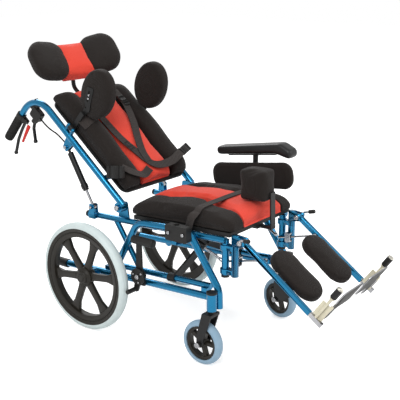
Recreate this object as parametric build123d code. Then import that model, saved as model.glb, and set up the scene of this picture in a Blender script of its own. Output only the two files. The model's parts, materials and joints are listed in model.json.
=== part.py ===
from build123d import *
import os
import math

# A child's positioning wheelchair with reclining back. Millimetres, +X forward, +Y to its left, +Z up.
# X is written from the rear axle and Z from the floor. AXLE_X then moves the chair so that the origin lies
# on the floor under the middle of its length. side is -1 on the chair's right and +1 on its left.

RIGHT = -1
LEFT = 1
AXLE_X = -255.57         # rear axle from the origin

# Clearances
FIT = 0.05               # radial, shaft in its bore
SLIDE = 0.1              # radial, sliding or clamped tube in its sleeve
SEAT_GAP = 0.1           # between pieces clamped on one another
RUN = 0.4                # between pieces that move past one another
SOFT = 0.5               # between a soft pad or strap and what it lies on

# Tubes and sheet
TUBE = 25.0              # main frame tube diameter
SEAT_TUBE = 22.0
BRACE_TUBE = 22.0
STRUT_TUBE = 20.0
PLATE = 6.0              # welded lug thickness
OVERLAP = 1.0            # joined pieces into one another, and a bore past the face it is cut in
PIN_HEAD = 4.0           # a pin's head round the pin, and low heads' height
PIN_HEAD_H = 5.0

# Section of a stuffed pad, as shares of its half width and height
PAD_BASE = 0.97
PAD_TOP = 0.90
PAD_BELLY = 0.42         # height of the widest place
PAD_SHOULDER = 0.78      # height of the sides
# Sections along it: share of the length, of the width and of the height, and of the draw and crown
PAD_END = ((0.0, 0.93, 0.45, 0.0), (0.05, 0.985, 0.84, 0.0), (0.18, 1.0, 1.0, 0.0))
PAD_MIDDLE = (0.5, 1.0, 1.0, 1.0)

# Rear wheels
TYRE_R = 200.0
TYRE_W = 40.0
TYRE_H = 32.0            # height of the tyre section before the rim cuts it
TYRE_SHOW = 20.0         # tyre outside the rim
RIM_DEPTH = 27.0
RIM_W = 33.0
RIM_INSET = 3.0          # narrower at the inside
RIM_BEVEL = (6.0, 3.0)   # depth and width of the bevels at the tyre
# Groove on the outer face: height over the rim's inside, and depth from the face
RIM_GROOVE = ((7.0, 4.0), (5.0, 7.0), (0.0, 6.0))
WHEEL_Y = 266.0
SPOKES = 6
SPOKE_TURN = 8.0         # degrees of the first spoke from the horizontal
SPOKE_W = 27.0
SPOKE_T = 17.0
SPOKE_ROOT = (8.0, 3.0)  # run into the hub and into the rim
HUB_R = 31.0
HUB_W = 52.0
HUB_CAP_R = 25.0
HUB_CAP_H = 8.0
HUB_TAPER = 5.0          # at the inner face
HUB_DOME = ((4.0, 3.0), (12.0, 0.0))   # cap: inside its radius, below its top
AXLE_R = 6.0
AXLE_BOSS_R = 17.0

# Casters
CASTER_R = 77.0
CASTER_W = 34.0
CASTER_TYRE_H = 26.0
CASTER_TYRE_SHOW = 20.0
CASTER_RIM_DEPTH = 9.0
CASTER_SPOKES = 5
CASTER_SPOKE_W = 13.0
CASTER_SPOKE_SHARE = 0.45    # thickness, of the tyre's width
CASTER_SPOKE_ROOT = (4.0, 2.0)
CASTER_CHAMFER = 3.0
CASTER_HUB_R = 15.0
CASTER_AXLE_R = 5.0
CASTER_X = 545.0
CASTER_Y = 236.0
CASTER_TRAIL = 35.0
CASTER_SWIVEL = {RIGHT: 0.0, LEFT: -11.0}
FORK_T = 5.0
FORK_GAP = 3.0           # tyre to fork leg
FORK_RISE = 36.0         # top of the fork crown above the tyre
FORK_CROWN_T = 10.0
FORK_X = (-22.0, 14.0)   # crown, from the stem
FORK_FOOT = 10.0         # half width of a leg at the axle
FORK_FRONT = (6.0, 12.0)     # bend of a leg's front edge: behind the crown's front, below the crown
FORK_REAR = (1.0, 40.0)      # bend of its rear edge: in front of the foot's rear, above the foot
FORK_CORNER = 5.0
COLLAR_STEP = 4.0        # collar inside the housing's radius
STEM_R = 7.0
HOUSING_R = 17.0
HOUSING_RISE = 9.0       # housing above the fork crown
HOUSING_H = 58.0
HOUSING_CAP_H = 7.0
HOUSING_WEB = 8.0        # half thickness of the web that carries the housing
HOUSING_WEB_IN = 6.0     # web short of the housing's ends

# Side frames
RAIL_Y = 205.0
RAIL_RISE = 5.0          # lower rail above the axle
RAIL_SLOPE = 2.6         # degrees, front up
TIP_X = -190.0           # rear end of the tipping lever
MAIN_FOOT_X = 78.0       # main tube leaves the lower rail
MAIN_KNEE = (202.0, 8.5)       # X, and height above the seat tube
MAIN_SHOULDER = (425.0, 16.5)
MAIN_ANKLE = (551.0, 262.0)
FRONT_X = 553.0
MAIN_BENDS = (55.0, 40.0, 60.0)
BRACE_Y = 178.0          # inner rail that carries the cross brace
BRACE_RISE = 26.0        # inner rail above the lower rail
BRACE_X = (40.0, 500.0)
SEAT_Y = 185.0
SEAT_H = 409.5           # seat tube over the axle
SEAT_SLOPE = 2.0         # degrees, front up
SEAT_X = (-48.0, 562.0)
UPRIGHT_Y = 183.0
UPRIGHT_TOP_X = 79.0
UPRIGHT_FOOT_X = 195.0
END_CAP = 8.0            # length of plastic tube caps
CAP_OVER = 1.0           # caps over the tube's radius
SPACER_AT = (60.0, -10.0)    # spacers from the main tube's knee and shoulder
SPACER_L = 24.0
SPACER_RISE = (-5.0, 12.0)   # below and above the seat tube's axis
TIP_SLEEVE = 40.0        # tipping lever tip over the tube
TIP_WALL = 4.0

# Cross brace
CROSS_X = 350.0
CROSS_T = 8.0
CROSS_W = 30.0
CROSS_SLEEVE = 60.0      # length along the rail
CROSS_SLEEVE_WALL = 4.0
CROSS_HEAD_H = 6.0       # centre bolt's heads

# Reclining back: pivot, then the back's own frame with x forward, z up the tube
PIVOT_X = 115.0
PIVOT_RISE = 50.5        # pivot above the seat tube
RECLINE = 50.0           # degrees from vertical
PIVOT_R = 6.0
KNUCKLE_R = 18.0
LUG_FOOT = (26.0, 4.0)   # recline lug's half width at its foot, and the foot below the seat tube's axis
LUG_HEAD = 17.0
LUG_CORNER = 8.0
CANE_Y = 195.0
CANE_X = 15.0            # tube axis in front of the pivot
CANE_FOOT = -6.0
HANDLE_Z = 553.0
HANDLE_BEND = 96.0
HANDLE_END = -228.0
CROSSBAR_Z = (120.0, 360.0)
BOARD_T = 8.0
BOARD_HALF = 174.0
BOARD_Z = (30.0, 480.0)
BOARD_CORNER = 30.0
GRIP_R = 16.0
GRIP_X = (-236.0, -122.0)
GRIP_ROUND = 4.0
CLAMP_L = 18.0
CLAMP_OVER = 2.0         # clamp over the grip's radius

# Recline struts
STRUT_TOP = (-23.0, 310.0)    # in the back's frame
STRUT_FOOT_X = -18.0
STRUT_FOOT_RISE = 33.0        # above the seat tube axis
CYLINDER_R = 11.0
CYLINDER_L = (24.0, 172.0)
CYLINDER_COLLAR = (24.0, 8.0)     # from the lower end
CYLINDER_COLLAR_OVER = 2.0
CYLINDER_HEAD = 20.0     # solid length above the bore
ROD_R = 5.0
ROD_IN = 96.0                 # rod length inside the cylinder at rest
EYE_R = 11.0
EYE_T = 12.0
LUG_GAP = 2.0
CLEVIS_FOOT = (15.0, 8.0)     # half width, and foot below the seat tube's axis
CLEVIS_BASE = (-9.0, 4.0)     # base block from the seat tube's axis
CLEVIS_CORNER = 5.0
CLEVIS_BOLT_R = 6.0
STRUT_LUG = 12.0              # upper lug round the eye
STRUT_LUG_WELD = (-18.0, 24.0)   # along the cane, from the eye

# Seat, back and head cushions
SEAT_BOARD_T = 14.0
SEAT_BOARD_EDGE = 7.0    # board's side edges inside the cushion's
SEAT_BOARD_INSET = (19.0, 16.0)   # under the cushion's rear and front edges
CUSHION_X = (147.0, 592.0)
CUSHION_W = 378.0
CUSHION_H = 62.0
CUSHION_CROWN = 9.0
CUSHION_DRAW = 8.0
PANEL_REAR = 82.0        # half width of the red panel at the rear, and at the front edge
PANEL_WAIST = 62.0
PANEL_WAIST_AT = 0.55    # share of the cushion's length
PANEL_OVER = 5.0         # plan past the cushion's ends
PANEL_FRONT = 118.0
BACK_H = 64.0            # bolster thickness
BACK_CROWN = 6.0
BACK_Z = (34.0, 492.0)
BACK_HALF = 176.0
BACK_PANEL = 88.0        # half width of the red centre panel
BACK_PANEL_H = 50.0
HEAD_Z = 590.0
HEAD_X = 58.0
HEAD_YAW = 20.0          # degrees turned to the chair's right, about the vertical
HEAD_LEAN = 50.0         # degrees from vertical
HEAD_CENTER = (20.0, 90.0)
HEAD_HALF_W = 52.0
HEAD_HALF_H = 66.0
HEAD_ROUND = 14.0
HEAD_RISE = 2.0          # pad centre above the barrel
BARREL_R = 12.0          # hinge barrel on the stem
BARREL_HALF = 14.0
CUP_WALL = 5.0
CUP_BACK = 2.0           # cup's rear edge in front of the barrel's axis
CUP_LOW = -4.0
WING_FLARE = 12.0
WING_L = 156.0
WING_T = 60.0
WING_SET = 0.55          # share of the thickness in front of the centre pad's back
WING_H = 160.0
WING_CORNER = 60.0
WING_ROUND = 24.0
STEM_HALF = 8.0
STEM_BOTTOM = 384.0
STEM_BEND = 0.8          # bend radius, of the crank's reach
RECEIVER_Z = (392.0, 466.0)
HEAD_RECEIVER_WALL = 8.0

# Lateral trunk pads
LATERAL_Z = 340.0
LATERAL_X = 45.0
LATERAL_PIN_R = 4.0
LATERAL_KNUCKLE_R = 9.0
LATERAL_KNUCKLE_H = 19.0
LATERAL_LUG = (6.0, 8.0)     # half width and height of a hinge lug
LATERAL_ARM_T = 4.0
LATERAL_CENTER = (199.0, 350.0)
LATERAL_AXES = (95.0, 74.0)
LATERAL_LEAN = 70.0      # degrees of the long axis from the back tube
LATERAL_T = 55.0
LATERAL_ROUND = 20.0
LATERAL_PAD_Y = 170.0    # outer face of the pad
LATERAL_CLEAR_Y = 180.0  # arm's inner face where it passes the bolster
LATERAL_JOG_X = 116.0
LATERAL_BAR_END = 60.0   # bar's end behind the pad's centre
LATERAL_CORNER = 6.0
LATERAL_SLOT_CORNER = 2.0
# Outline of the arm's end plate and its slot, from the pad's centre
LATERAL_PLATE = ((-74.0, -34.0), (-30.0, -12.0), (22.0, 8.0), (8.0, 36.0), (-46.0, 14.0))
LATERAL_SLOT = ((-34.0, 0.0), (4.0, 15.0), (1.0, 22.0), (-37.0, 7.0))

# Armrest on the left, and its socket on both sides
POST_X = 397.0
POST_Y = 231.0
POST_R = 10.0
SOCKET_X = (358.0, 448.0)
SOCKET_RISE = (-15.4, 38.6)   # below and above the seat tube
SOCKET_W = 28.0
SOCKET_CORNER = 8.0
ARM_PAD_X = (241.0, 558.0)
ARM_PAD_RISE = 198.0     # pad's underside above the seat tube
ARM_PAD_H = 33.0
ARM_PAD_W = 54.0
ARM_DROOP = 22.0
ARM_UNDER = 60.0         # underside bends down this far behind the front
ARM_NOSE = (40.0, 26.0)  # bevel of the top's front edge
ARM_REAR_DROP = 6.0
ARM_CORNER = 10.0
ARM_ROUND = 8.0
ARM_TILT = 8.0           # degrees, pad and side cushion front up
ARM_RAIL_INSET = (40.0, 70.0)   # pad rail from the pad's rear and front
ARM_RAIL_T = 8.0
SIDE_PAD_X = (210.0, 566.0)
SIDE_PAD_RISE = (66.0, 170.0)
SIDE_PAD_T = 27.0
SIDE_PAD_Y = 193.0
SIDE_PAD_CORNER = 42.0
SIDE_PAD_ROUND = 11.0
SIDE_PLATE_INSET = 60.0
SIDE_PLATE_RISE = (30.0, 60.0)  # above the side cushion's lower edge

# Pommel
POMMEL_X = 564.0
POMMEL_L = 110.0
POMMEL_W = 84.0
POMMEL_H = 108.0
POMMEL_SINK = -8.0       # pommel's foot below the cushion's side height
POMMEL_CORNER = 22.0
POMMEL_ROUND = 14.0
POMMEL_STEM_UP = 0.3     # share of the pommel's front that the stem covers
POMMEL_STEM_W = 26.0
POMMEL_STEM_T = 5.0
POMMEL_FRONT = 626.0
RECEIVER_X = (440.0, 574.0)
RECEIVER_WALL = 4.0
RECEIVER_STOP = 10.0     # closed rear end
RECEIVER_FREE = 14.0     # stem's end from the receiver's rear

# Leg rests: the hanger on the frame's front post, then the leg's own frame with x down the tube
POST_REAR_X = 554.0
POST_SPACING = 38.0      # hanger post in front of the frame's post
HANGER_Y = 174.0
HANGER_RISE = (-120.0, 21.0)  # foot and top of the posts from the seat tube
BAND_RISE = (-107.0, -25.0)
BAND_H = 16.0
BAND_WALL = 5.0
BAND_WEB = 0.7           # half width of the web between the posts, of the band's radius
LEG_REACH = 30.0         # leg pivot in front of the hanger post
LEG_RISE = 5.0
LEG_DROP = 35.5          # degrees below horizontal
LEG_W = 16.0
LEG_D = 19.0
LEG_L = 309.0
LEG_PIN_R = 5.0
LEG_HEAD = 3.0           # leg pin's heads round the pin
CLEVIS_T = 5.0
CHEEK_FOOT = (4.0, 20.0)     # rear corner: behind the hanger post's axis, below the pin
CHEEK_NOSE = ((12.0, -14.0), (14.0, 12.0))   # front corners from the pin
CHEEK_CORNER = 7.0
EXTENSION_L = 361.0
EXTENSION_W = 12.0
EXTENSION_D = 15.0
CALF_X = (80.0, 290.0)
CALF_Y = (40.0, 156.0)
CALF_N = (-12.0, 28.0)
CALF_ROUND = 14.0
CALF_FLAT = 1.0          # half of the straight edge at the pad's ends
CALF_BRACKET_X = (150.0, 232.0)
CALF_BRACKET_D = 44.0
CALF_BRACKET_T = 4.0
CALF_BRACKET_TAPER = (30.0, 16.0)   # lower edge short of the upper one, at the top and the foot
CALF_BRACKET_CORNER = 8.0
CALF_SHELF_T = 5.0       # plate behind the pad
CALF_SHELF_IN = 30.0     # plate's end inside the pad's edge
FOOT_X = 347.0
FOOT_T = 4.0
FOOT_Y = (20.0, 152.0)
FOOT_N = (-4.0, 126.0)
FOOT_HEEL_Y = 40.0       # full depth beside the hinge
FOOT_HEEL_N = 36.0       # heel edge beyond that
FOOT_ROUND = 12.0
FOOT_PIN_R = 3.0
FOOT_HINGE_Y = 158.0
FOOT_HINGE_R = 5.0
FOOT_KNUCKLE = (16.0, 54.0)
FLANGE_X = 312.0
FLANGE_N = (4.0, 66.0)
FLANGE_T = 4.0
KNOB_R = 11.0
KNOB_N = (104.0, 142.0)
KNOB_X = 330.0
KNOB_BAR_R = 5.0
KNOB_END = 2.0           # bar short of the knob's end
KNOB_COLLAR = (8.0, 3.0)     # length, and over the bar's radius

# Leg ratchet rods, beside the inner face of the leg tube
RATCHET_R = 3.5
RATCHET_Y = 155.0
RATCHET_AT = 90.0        # pivot along the leg
RATCHET_L = 150.0
LATCH_RISE = -72.0
LATCH_SLOT = 8.0         # clear room round the rod in the latch
LATCH_WALL = 4.0
LATCH_DEPTH = 20.0
LATCH_LAP = 2.0          # latch into the post, and past the rod

# Wheel locks
LOCK_AHEAD = 30.0        # lock pivot in front of the tyre
LOCK_RISE = 28.4         # and above the lower rail
LOCK_R = 19.0
LOCK_PIN_R = 5.0
LOCK_BASE_T = 9.0
LOCK_PLATE_T = 8.0
LOCK_FOOT = (16.0, 8.0)  # base's half width, and foot below the rail's axis
LOCK_LEVER_H = 130.0
LOCK_STALK = (14.0, 10.0)    # half width at the foot and at the top
LOCK_STALK_FOOT = 12.0   # below the pin
LOCK_ARM = (9.0, 15.0)   # half width at the shoe and at the pin
LOCK_CORNER = 6.0
LOCK_GRIP_L = 98.0
LOCK_GRIP_R = 15.0
LOCK_GRIP_REAR = 0.3     # share of the grip behind the stalk
LOCK_GRIP_FRONT = 0.7
LOCK_GRIP_ROUND = 0.5    # rounding, of the grip's radius
LOCK_SHOE_R = 8.0
LOCK_SHOE_DROP = 8.0     # shoe below the axle
LOCK_GAP = 4.0           # shoe to tyre when released

# Hand levers on the push handles, in the back's frame
BRAKE_PIVOT = (-112.0, 522.0)
BRAKE_PATH = ((-112.0, 522.0), (-150.0, 519.0), (-196.0, 511.0), (-252.0, 490.0))
RELEASE_BOX_X = (-64.0, -24.0)
RELEASE_BOX_Z = (470.0, 518.0)
RELEASE_PIVOT = (-72.0, 488.0)
RELEASE_PATH = ((-72.0, 488.0), (-100.0, 476.0), (-134.0, 440.0))
LEVER_R = 4.0
LEVER_T = 9.0            # blade thickness across the chair
LEVER_END_R = 7.0
LEVER_WALL = 4.0         # round a lever's pivot
LEVER_BEND = 14.0
LEVER_PIN_R = 3.0
LEVER_HUB = 5.0          # half width of a lever at its pivot
PERCH_T = 22.0
PERCH_CORNER = 6.0
PERCH_CHEEK = 4.0        # cheeks beside a lever's hub
PERCH_REACH = 8.0        # cheeks round the pivot
PERCH_LAP = 6.0          # cheeks into the housing
LINK_X = (-20.0, -14.0)  # housing's link, from the housing's front and from the cane's axis
LINK_HALF = (7.0, 14.0)

# Straps and cables
STRAP_T = 3.0
HARNESS_W = 34.0
HARNESS_JOIN_Z = 124.0
HARNESS_TOP_Z = 405.0
HARNESS_TOP_Y = 60.0
HARNESS_PLATE = 1.3      # half width of the chest plate, of the strap's width
HARNESS_PLATE_Z = (-6.0, 18.0)   # from the waist strap's upper edge and the straps' meeting point
WAIST_W = 44.0
WAIST_Z = 104.0
WAIST_TAIL = 10.0        # ends in front of the board
WAIST_EDGE = (22.0, 24.0)    # bevel over a bolster's outer edge
WAIST_DIP = (-10.0, 22.0)    # inner slope, from the red panel's edge
WAIST_MITRE = 1.0        # outer face's corners from the inner ones
BUCKLE_AT = 4.0          # buckle from the strap's end
BUCKLE_T = 12.0
BUCKLE_L = 49.6
BUCKLE_H = 40.0
LAP_X = 405.0
LAP_W = 38.0
LAP_TAIL = 8.0           # strap ends below the cushion
LAP_EDGE = 30.0          # chamfer over the cushion's edge
LAP_FOLD = 45.0          # degrees
CABLE_R = 3.0
CABLE_BEND = 0.45        # share of a run that its bend takes
CABLE_ROUTE = ((0.0, 0.20), (0.33, 0.44), (0.92, 0.67))   # shares of the way forward and down


def rail_z(x):
    """Height of the lower rail's axis."""
    return TYRE_R + RAIL_RISE + x * math.tan(math.radians(RAIL_SLOPE))


def brace_z(x):
    """Height of the inner rail's axis."""
    return rail_z(x) + BRACE_RISE


def seat_z(x):
    """Height of the seat tube's axis."""
    return SEAT_H + x * math.tan(math.radians(SEAT_SLOPE))


def rim_r():
    return TYRE_R - TYRE_SHOW


def caster_rim_r():
    return CASTER_R - CASTER_TYRE_SHOW


def crown_z():
    """Top of the caster fork's crown."""
    return 2 * CASTER_R + FORK_RISE


def housing_z():
    """Underside of the caster housing."""
    return crown_z() + HOUSING_RISE


def lock_x():
    return TYRE_R + LOCK_AHEAD


def lock_z():
    return rail_z(lock_x()) + LOCK_RISE


def over_seat_tube(x, rise):
    """Height of a point above the seat tube."""
    return seat_z(x) + rise


def pivot_z():
    return over_seat_tube(PIVOT_X, PIVOT_RISE)


def armrest_z(rise):
    return over_seat_tube(POST_X, rise)


def hanger_z(rise):
    return over_seat_tube(POST_REAR_X, rise)


def hanger_x():
    """X of the hanger's post."""
    return POST_REAR_X + POST_SPACING


def leg_x():
    """X of the leg's pivot."""
    return hanger_x() + LEG_REACH


def back_place():
    """Placement of the back's own frame at the rest recline."""
    return Location((PIVOT_X, 0, pivot_z()), (0, -RECLINE, 0))


def seat_place():
    """Placement of the seat's own frame, z = 0 on the seat tube's axis."""
    return Location((0, 0, SEAT_H), (0, -SEAT_SLOPE, 0))


def leg_place(side):
    """Placement of a leg's own frame: x down the leg, z out of its front."""
    return Location((leg_x(), side * HANGER_Y, hanger_z(LEG_RISE)), (0, LEG_DROP, 0))


def head_place():
    """Placement of the headrest's own frame on its hinge barrel, within the back's frame."""
    turn = Rot(0, RECLINE, 0) * Rot(0, 0, -HEAD_YAW) * Rot(0, -HEAD_LEAN, 0)
    return Pos(HEAD_X, 0, HEAD_Z) * turn


def tube(points, diameter, bends=None):
    """Round bar along straight runs, with tangent bends at the corners."""
    path = Polyline(*points) if bends is None else FilletPolyline(*points, radius=bends)
    return sweep(Plane(path @ 0, z_dir=path % 0) * Circle(diameter / 2), path=path)


def block(x, y, z):
    """Box between the two values of each range."""
    spans = [sorted(pair) for pair in (x, y, z)]
    middle = [(low + high) / 2 for low, high in spans]
    return Pos(*middle) * Box(*[high - low for low, high in spans])


def bar_x(x0, x1, y, z, radius):
    return Pos((x0 + x1) / 2, y, z) * Rot(0, 90, 0) * Cylinder(radius, abs(x1 - x0))


def bar_y(x, z, y0, y1, radius):
    return Pos(x, (y0 + y1) / 2, z) * Rot(90, 0, 0) * Cylinder(radius, abs(y1 - y0))


def bar_z(x, y, z0, z1, radius):
    return Pos(x, y, (z0 + z1) / 2) * Cylinder(radius, abs(z1 - z0))


def plate_xz(points, y0, y1, corner=0.0):
    """Plate with the given outline in X and Z, between two values of Y."""
    outline = make_face(Polyline(*points, close=True))
    if corner:
        outline = fillet(outline.vertices(), corner)
    low, high = sorted((y0, y1))
    return extrude(Plane((0, high, 0), x_dir=(1, 0, 0), z_dir=(0, -1, 0)) * outline, high - low)


def turned(profile):
    """Solid turned about Y; the profile is a face with X as radius."""
    return revolve(profile, Axis.Y)


def outline_face(points):
    return make_face(Polyline(*points, close=True))


def pad_section(width, height):
    """Section of a stuffed pad: flat base, bowed sides, arched top. X is its width and Y its height."""
    half = width / 2
    base = half * PAD_BASE
    top = half * PAD_TOP
    belly = height * PAD_BELLY
    shoulder = height * PAD_SHOULDER
    lines = Line((-base, 0), (base, 0))
    lines += ThreePointArc((base, 0), (half, belly), (top, shoulder))
    lines += ThreePointArc((top, shoulder), (0, height), (-top, shoulder))
    lines += ThreePointArc((-top, shoulder), (-half, belly), (-base, 0))
    return make_face(lines)


def stuffed_pad(length, width, height, crown, draw):
    """Stuffed pad along X from 0, base on z = 0: crowned top, rounded ends, sides drawn in at mid length."""
    far_end = [(1 - share, *sizes) for share, *sizes in reversed(PAD_END)]
    sections = []
    for share, wide, high, middle in (*PAD_END, PAD_MIDDLE, *far_end):
        plane = Plane((length * share, 0, 0), x_dir=(0, 1, 0), z_dir=(1, 0, 0))
        sections.append(plane * pad_section(width * wide - draw * middle, height * high + crown * middle))
    return loft(sections)


def rounded_pad(outline, thickness, rounding):
    """Flat pad from an outline on XY, with its rims rounded over."""
    body = extrude(outline, thickness)
    rims = body.edges().group_by(Axis.Z)
    return fillet(rims[0] + rims[-1], rounding)


# Wheels

def spoke_set(count, inner, outer, width, thick, turn=0.0):
    """Straight spokes about Y, centred on y = 0, the first turned from X."""
    spoke = plate_xz([(inner, -width / 2), (outer, -width / 2), (outer, width / 2), (inner, width / 2)],
                     -thick / 2, thick / 2)
    return [Rot(0, turn + 360.0 * step / count, 0) * spoke for step in range(count)]


def rear_wheel(side):
    """Moulded six-spoke wheel with grooved rim and domed hub cap, bored for the axle pin."""
    inside = rim_r() - RIM_DEPTH
    half = RIM_W / 2
    deep, wide = RIM_BEVEL
    rim = turned(outline_face([
        (inside, -half + RIM_INSET), (rim_r() - deep, -half), (rim_r(), -half + wide), (rim_r(), half - wide),
        (rim_r() - deep, half), *[(inside + rise, half - inset) for rise, inset in RIM_GROOVE]]))
    dome = [(HUB_CAP_R - inset, HUB_W / 2 - drop) for inset, drop in HUB_DOME]
    hub = turned(outline_face([
        (0, -HUB_W / 2), (HUB_R - HUB_TAPER, -HUB_W / 2), (HUB_R, -HUB_W / 4), (HUB_R, HUB_W / 4),
        (HUB_CAP_R, HUB_W / 2 - HUB_CAP_H), *dome, (0, HUB_W / 2)]))
    wheel = rim + hub
    ends = (HUB_R - SPOKE_ROOT[0], inside + SPOKE_ROOT[1])
    for spoke in spoke_set(SPOKES, *ends, SPOKE_W, SPOKE_T, SPOKE_TURN):
        wheel += spoke
    wheel -= bar_y(0, 0, -HUB_W / 2 - OVERLAP, HUB_W / 2 - HUB_CAP_H, AXLE_R + FIT)
    outward = Rot(0, 0, 90 - side * 90)
    return Pos(0, side * WHEEL_Y, TYRE_R) * outward * wheel


def tyre(radius, width, height, rim_radius):
    """Tyre of oval section, cut to sit on its rim."""
    section = Pos(radius - height / 2, 0) * Ellipse(height / 2, width / 2)
    return turned(section) - bar_y(0, 0, -width, width, rim_radius + SEAT_GAP)


def rear_tyre(side):
    return Pos(0, side * WHEEL_Y, TYRE_R) * tyre(TYRE_R, TYRE_W, TYRE_H, rim_r())


def caster_place(side):
    """Placement of a caster's own frame: x = 0 on the stem, z from the floor, swivelled as parked."""
    return Location((CASTER_X, side * CASTER_Y, 0), (0, 0, CASTER_SWIVEL[side]))


def caster_fork(side):
    """Fork with its stem, collar and wheel axle."""
    inner = CASTER_W / 2 + FORK_GAP
    low = crown_z() - FORK_CROWN_T
    fork = block(FORK_X, (-inner - FORK_T, inner + FORK_T), (low, crown_z()))
    rear, front = FORK_X
    foot = CASTER_R - FORK_FOOT
    heel = -CASTER_TRAIL - FORK_FOOT
    leg = [(rear, crown_z()), (front, crown_z()), (front - FORK_FRONT[0], low - FORK_FRONT[1]),
           (-CASTER_TRAIL + FORK_FOOT, foot), (heel, foot), (heel + FORK_REAR[0], foot + FORK_REAR[1])]
    for edge in (-1, 1):
        fork += plate_xz(leg, edge * inner, edge * (inner + FORK_T), FORK_CORNER)
    root = crown_z() - OVERLAP
    fork += bar_z(0, 0, root, housing_z() - RUN, HOUSING_R - COLLAR_STEP)
    fork += bar_z(0, 0, root, housing_z() + HOUSING_H - HOUSING_CAP_H - RUN, STEM_R)
    end = inner + FORK_T + PIN_HEAD
    fork += bar_y(-CASTER_TRAIL, CASTER_R, -end, end, CASTER_AXLE_R)
    for edge in (-1, 1):
        head = (edge * (inner + FORK_T - OVERLAP), edge * (inner + FORK_T + PIN_HEAD_H))
        fork += bar_y(-CASTER_TRAIL, CASTER_R, *head, CASTER_AXLE_R + PIN_HEAD)
    return caster_place(side) * fork


def caster_rim(side):
    """Moulded caster wheel with five spokes, bored for its axle."""
    half = CASTER_W / 2 - CASTER_CHAMFER
    inside = caster_rim_r() - CASTER_RIM_DEPTH
    outside = caster_rim_r()
    narrow = half - CASTER_CHAMFER
    rim = turned(outline_face([(inside, -narrow), (outside, -half), (outside, half), (inside, narrow)]))
    end = CASTER_HUB_R - CASTER_CHAMFER
    hub = turned(outline_face([(0, -CASTER_W / 2), (end, -CASTER_W / 2), (CASTER_HUB_R, -half),
                               (CASTER_HUB_R, half), (end, CASTER_W / 2), (0, CASTER_W / 2)]))
    wheel = rim + hub
    ends = (CASTER_HUB_R - CASTER_SPOKE_ROOT[0], inside + CASTER_SPOKE_ROOT[1])
    for spoke in spoke_set(CASTER_SPOKES, *ends, CASTER_SPOKE_W, CASTER_W * CASTER_SPOKE_SHARE):
        wheel += spoke
    wheel -= bar_y(0, 0, -CASTER_W, CASTER_W, CASTER_AXLE_R + FIT)
    return caster_place(side) * Pos(-CASTER_TRAIL, 0, CASTER_R) * wheel


def caster_tyre(side):
    ring = tyre(CASTER_R, CASTER_W, CASTER_TYRE_H, caster_rim_r())
    return caster_place(side) * Pos(-CASTER_TRAIL, 0, CASTER_R) * ring


# Frame

def strut_foot_z():
    return seat_z(STRUT_FOOT_X) + STRUT_FOOT_RISE


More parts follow.
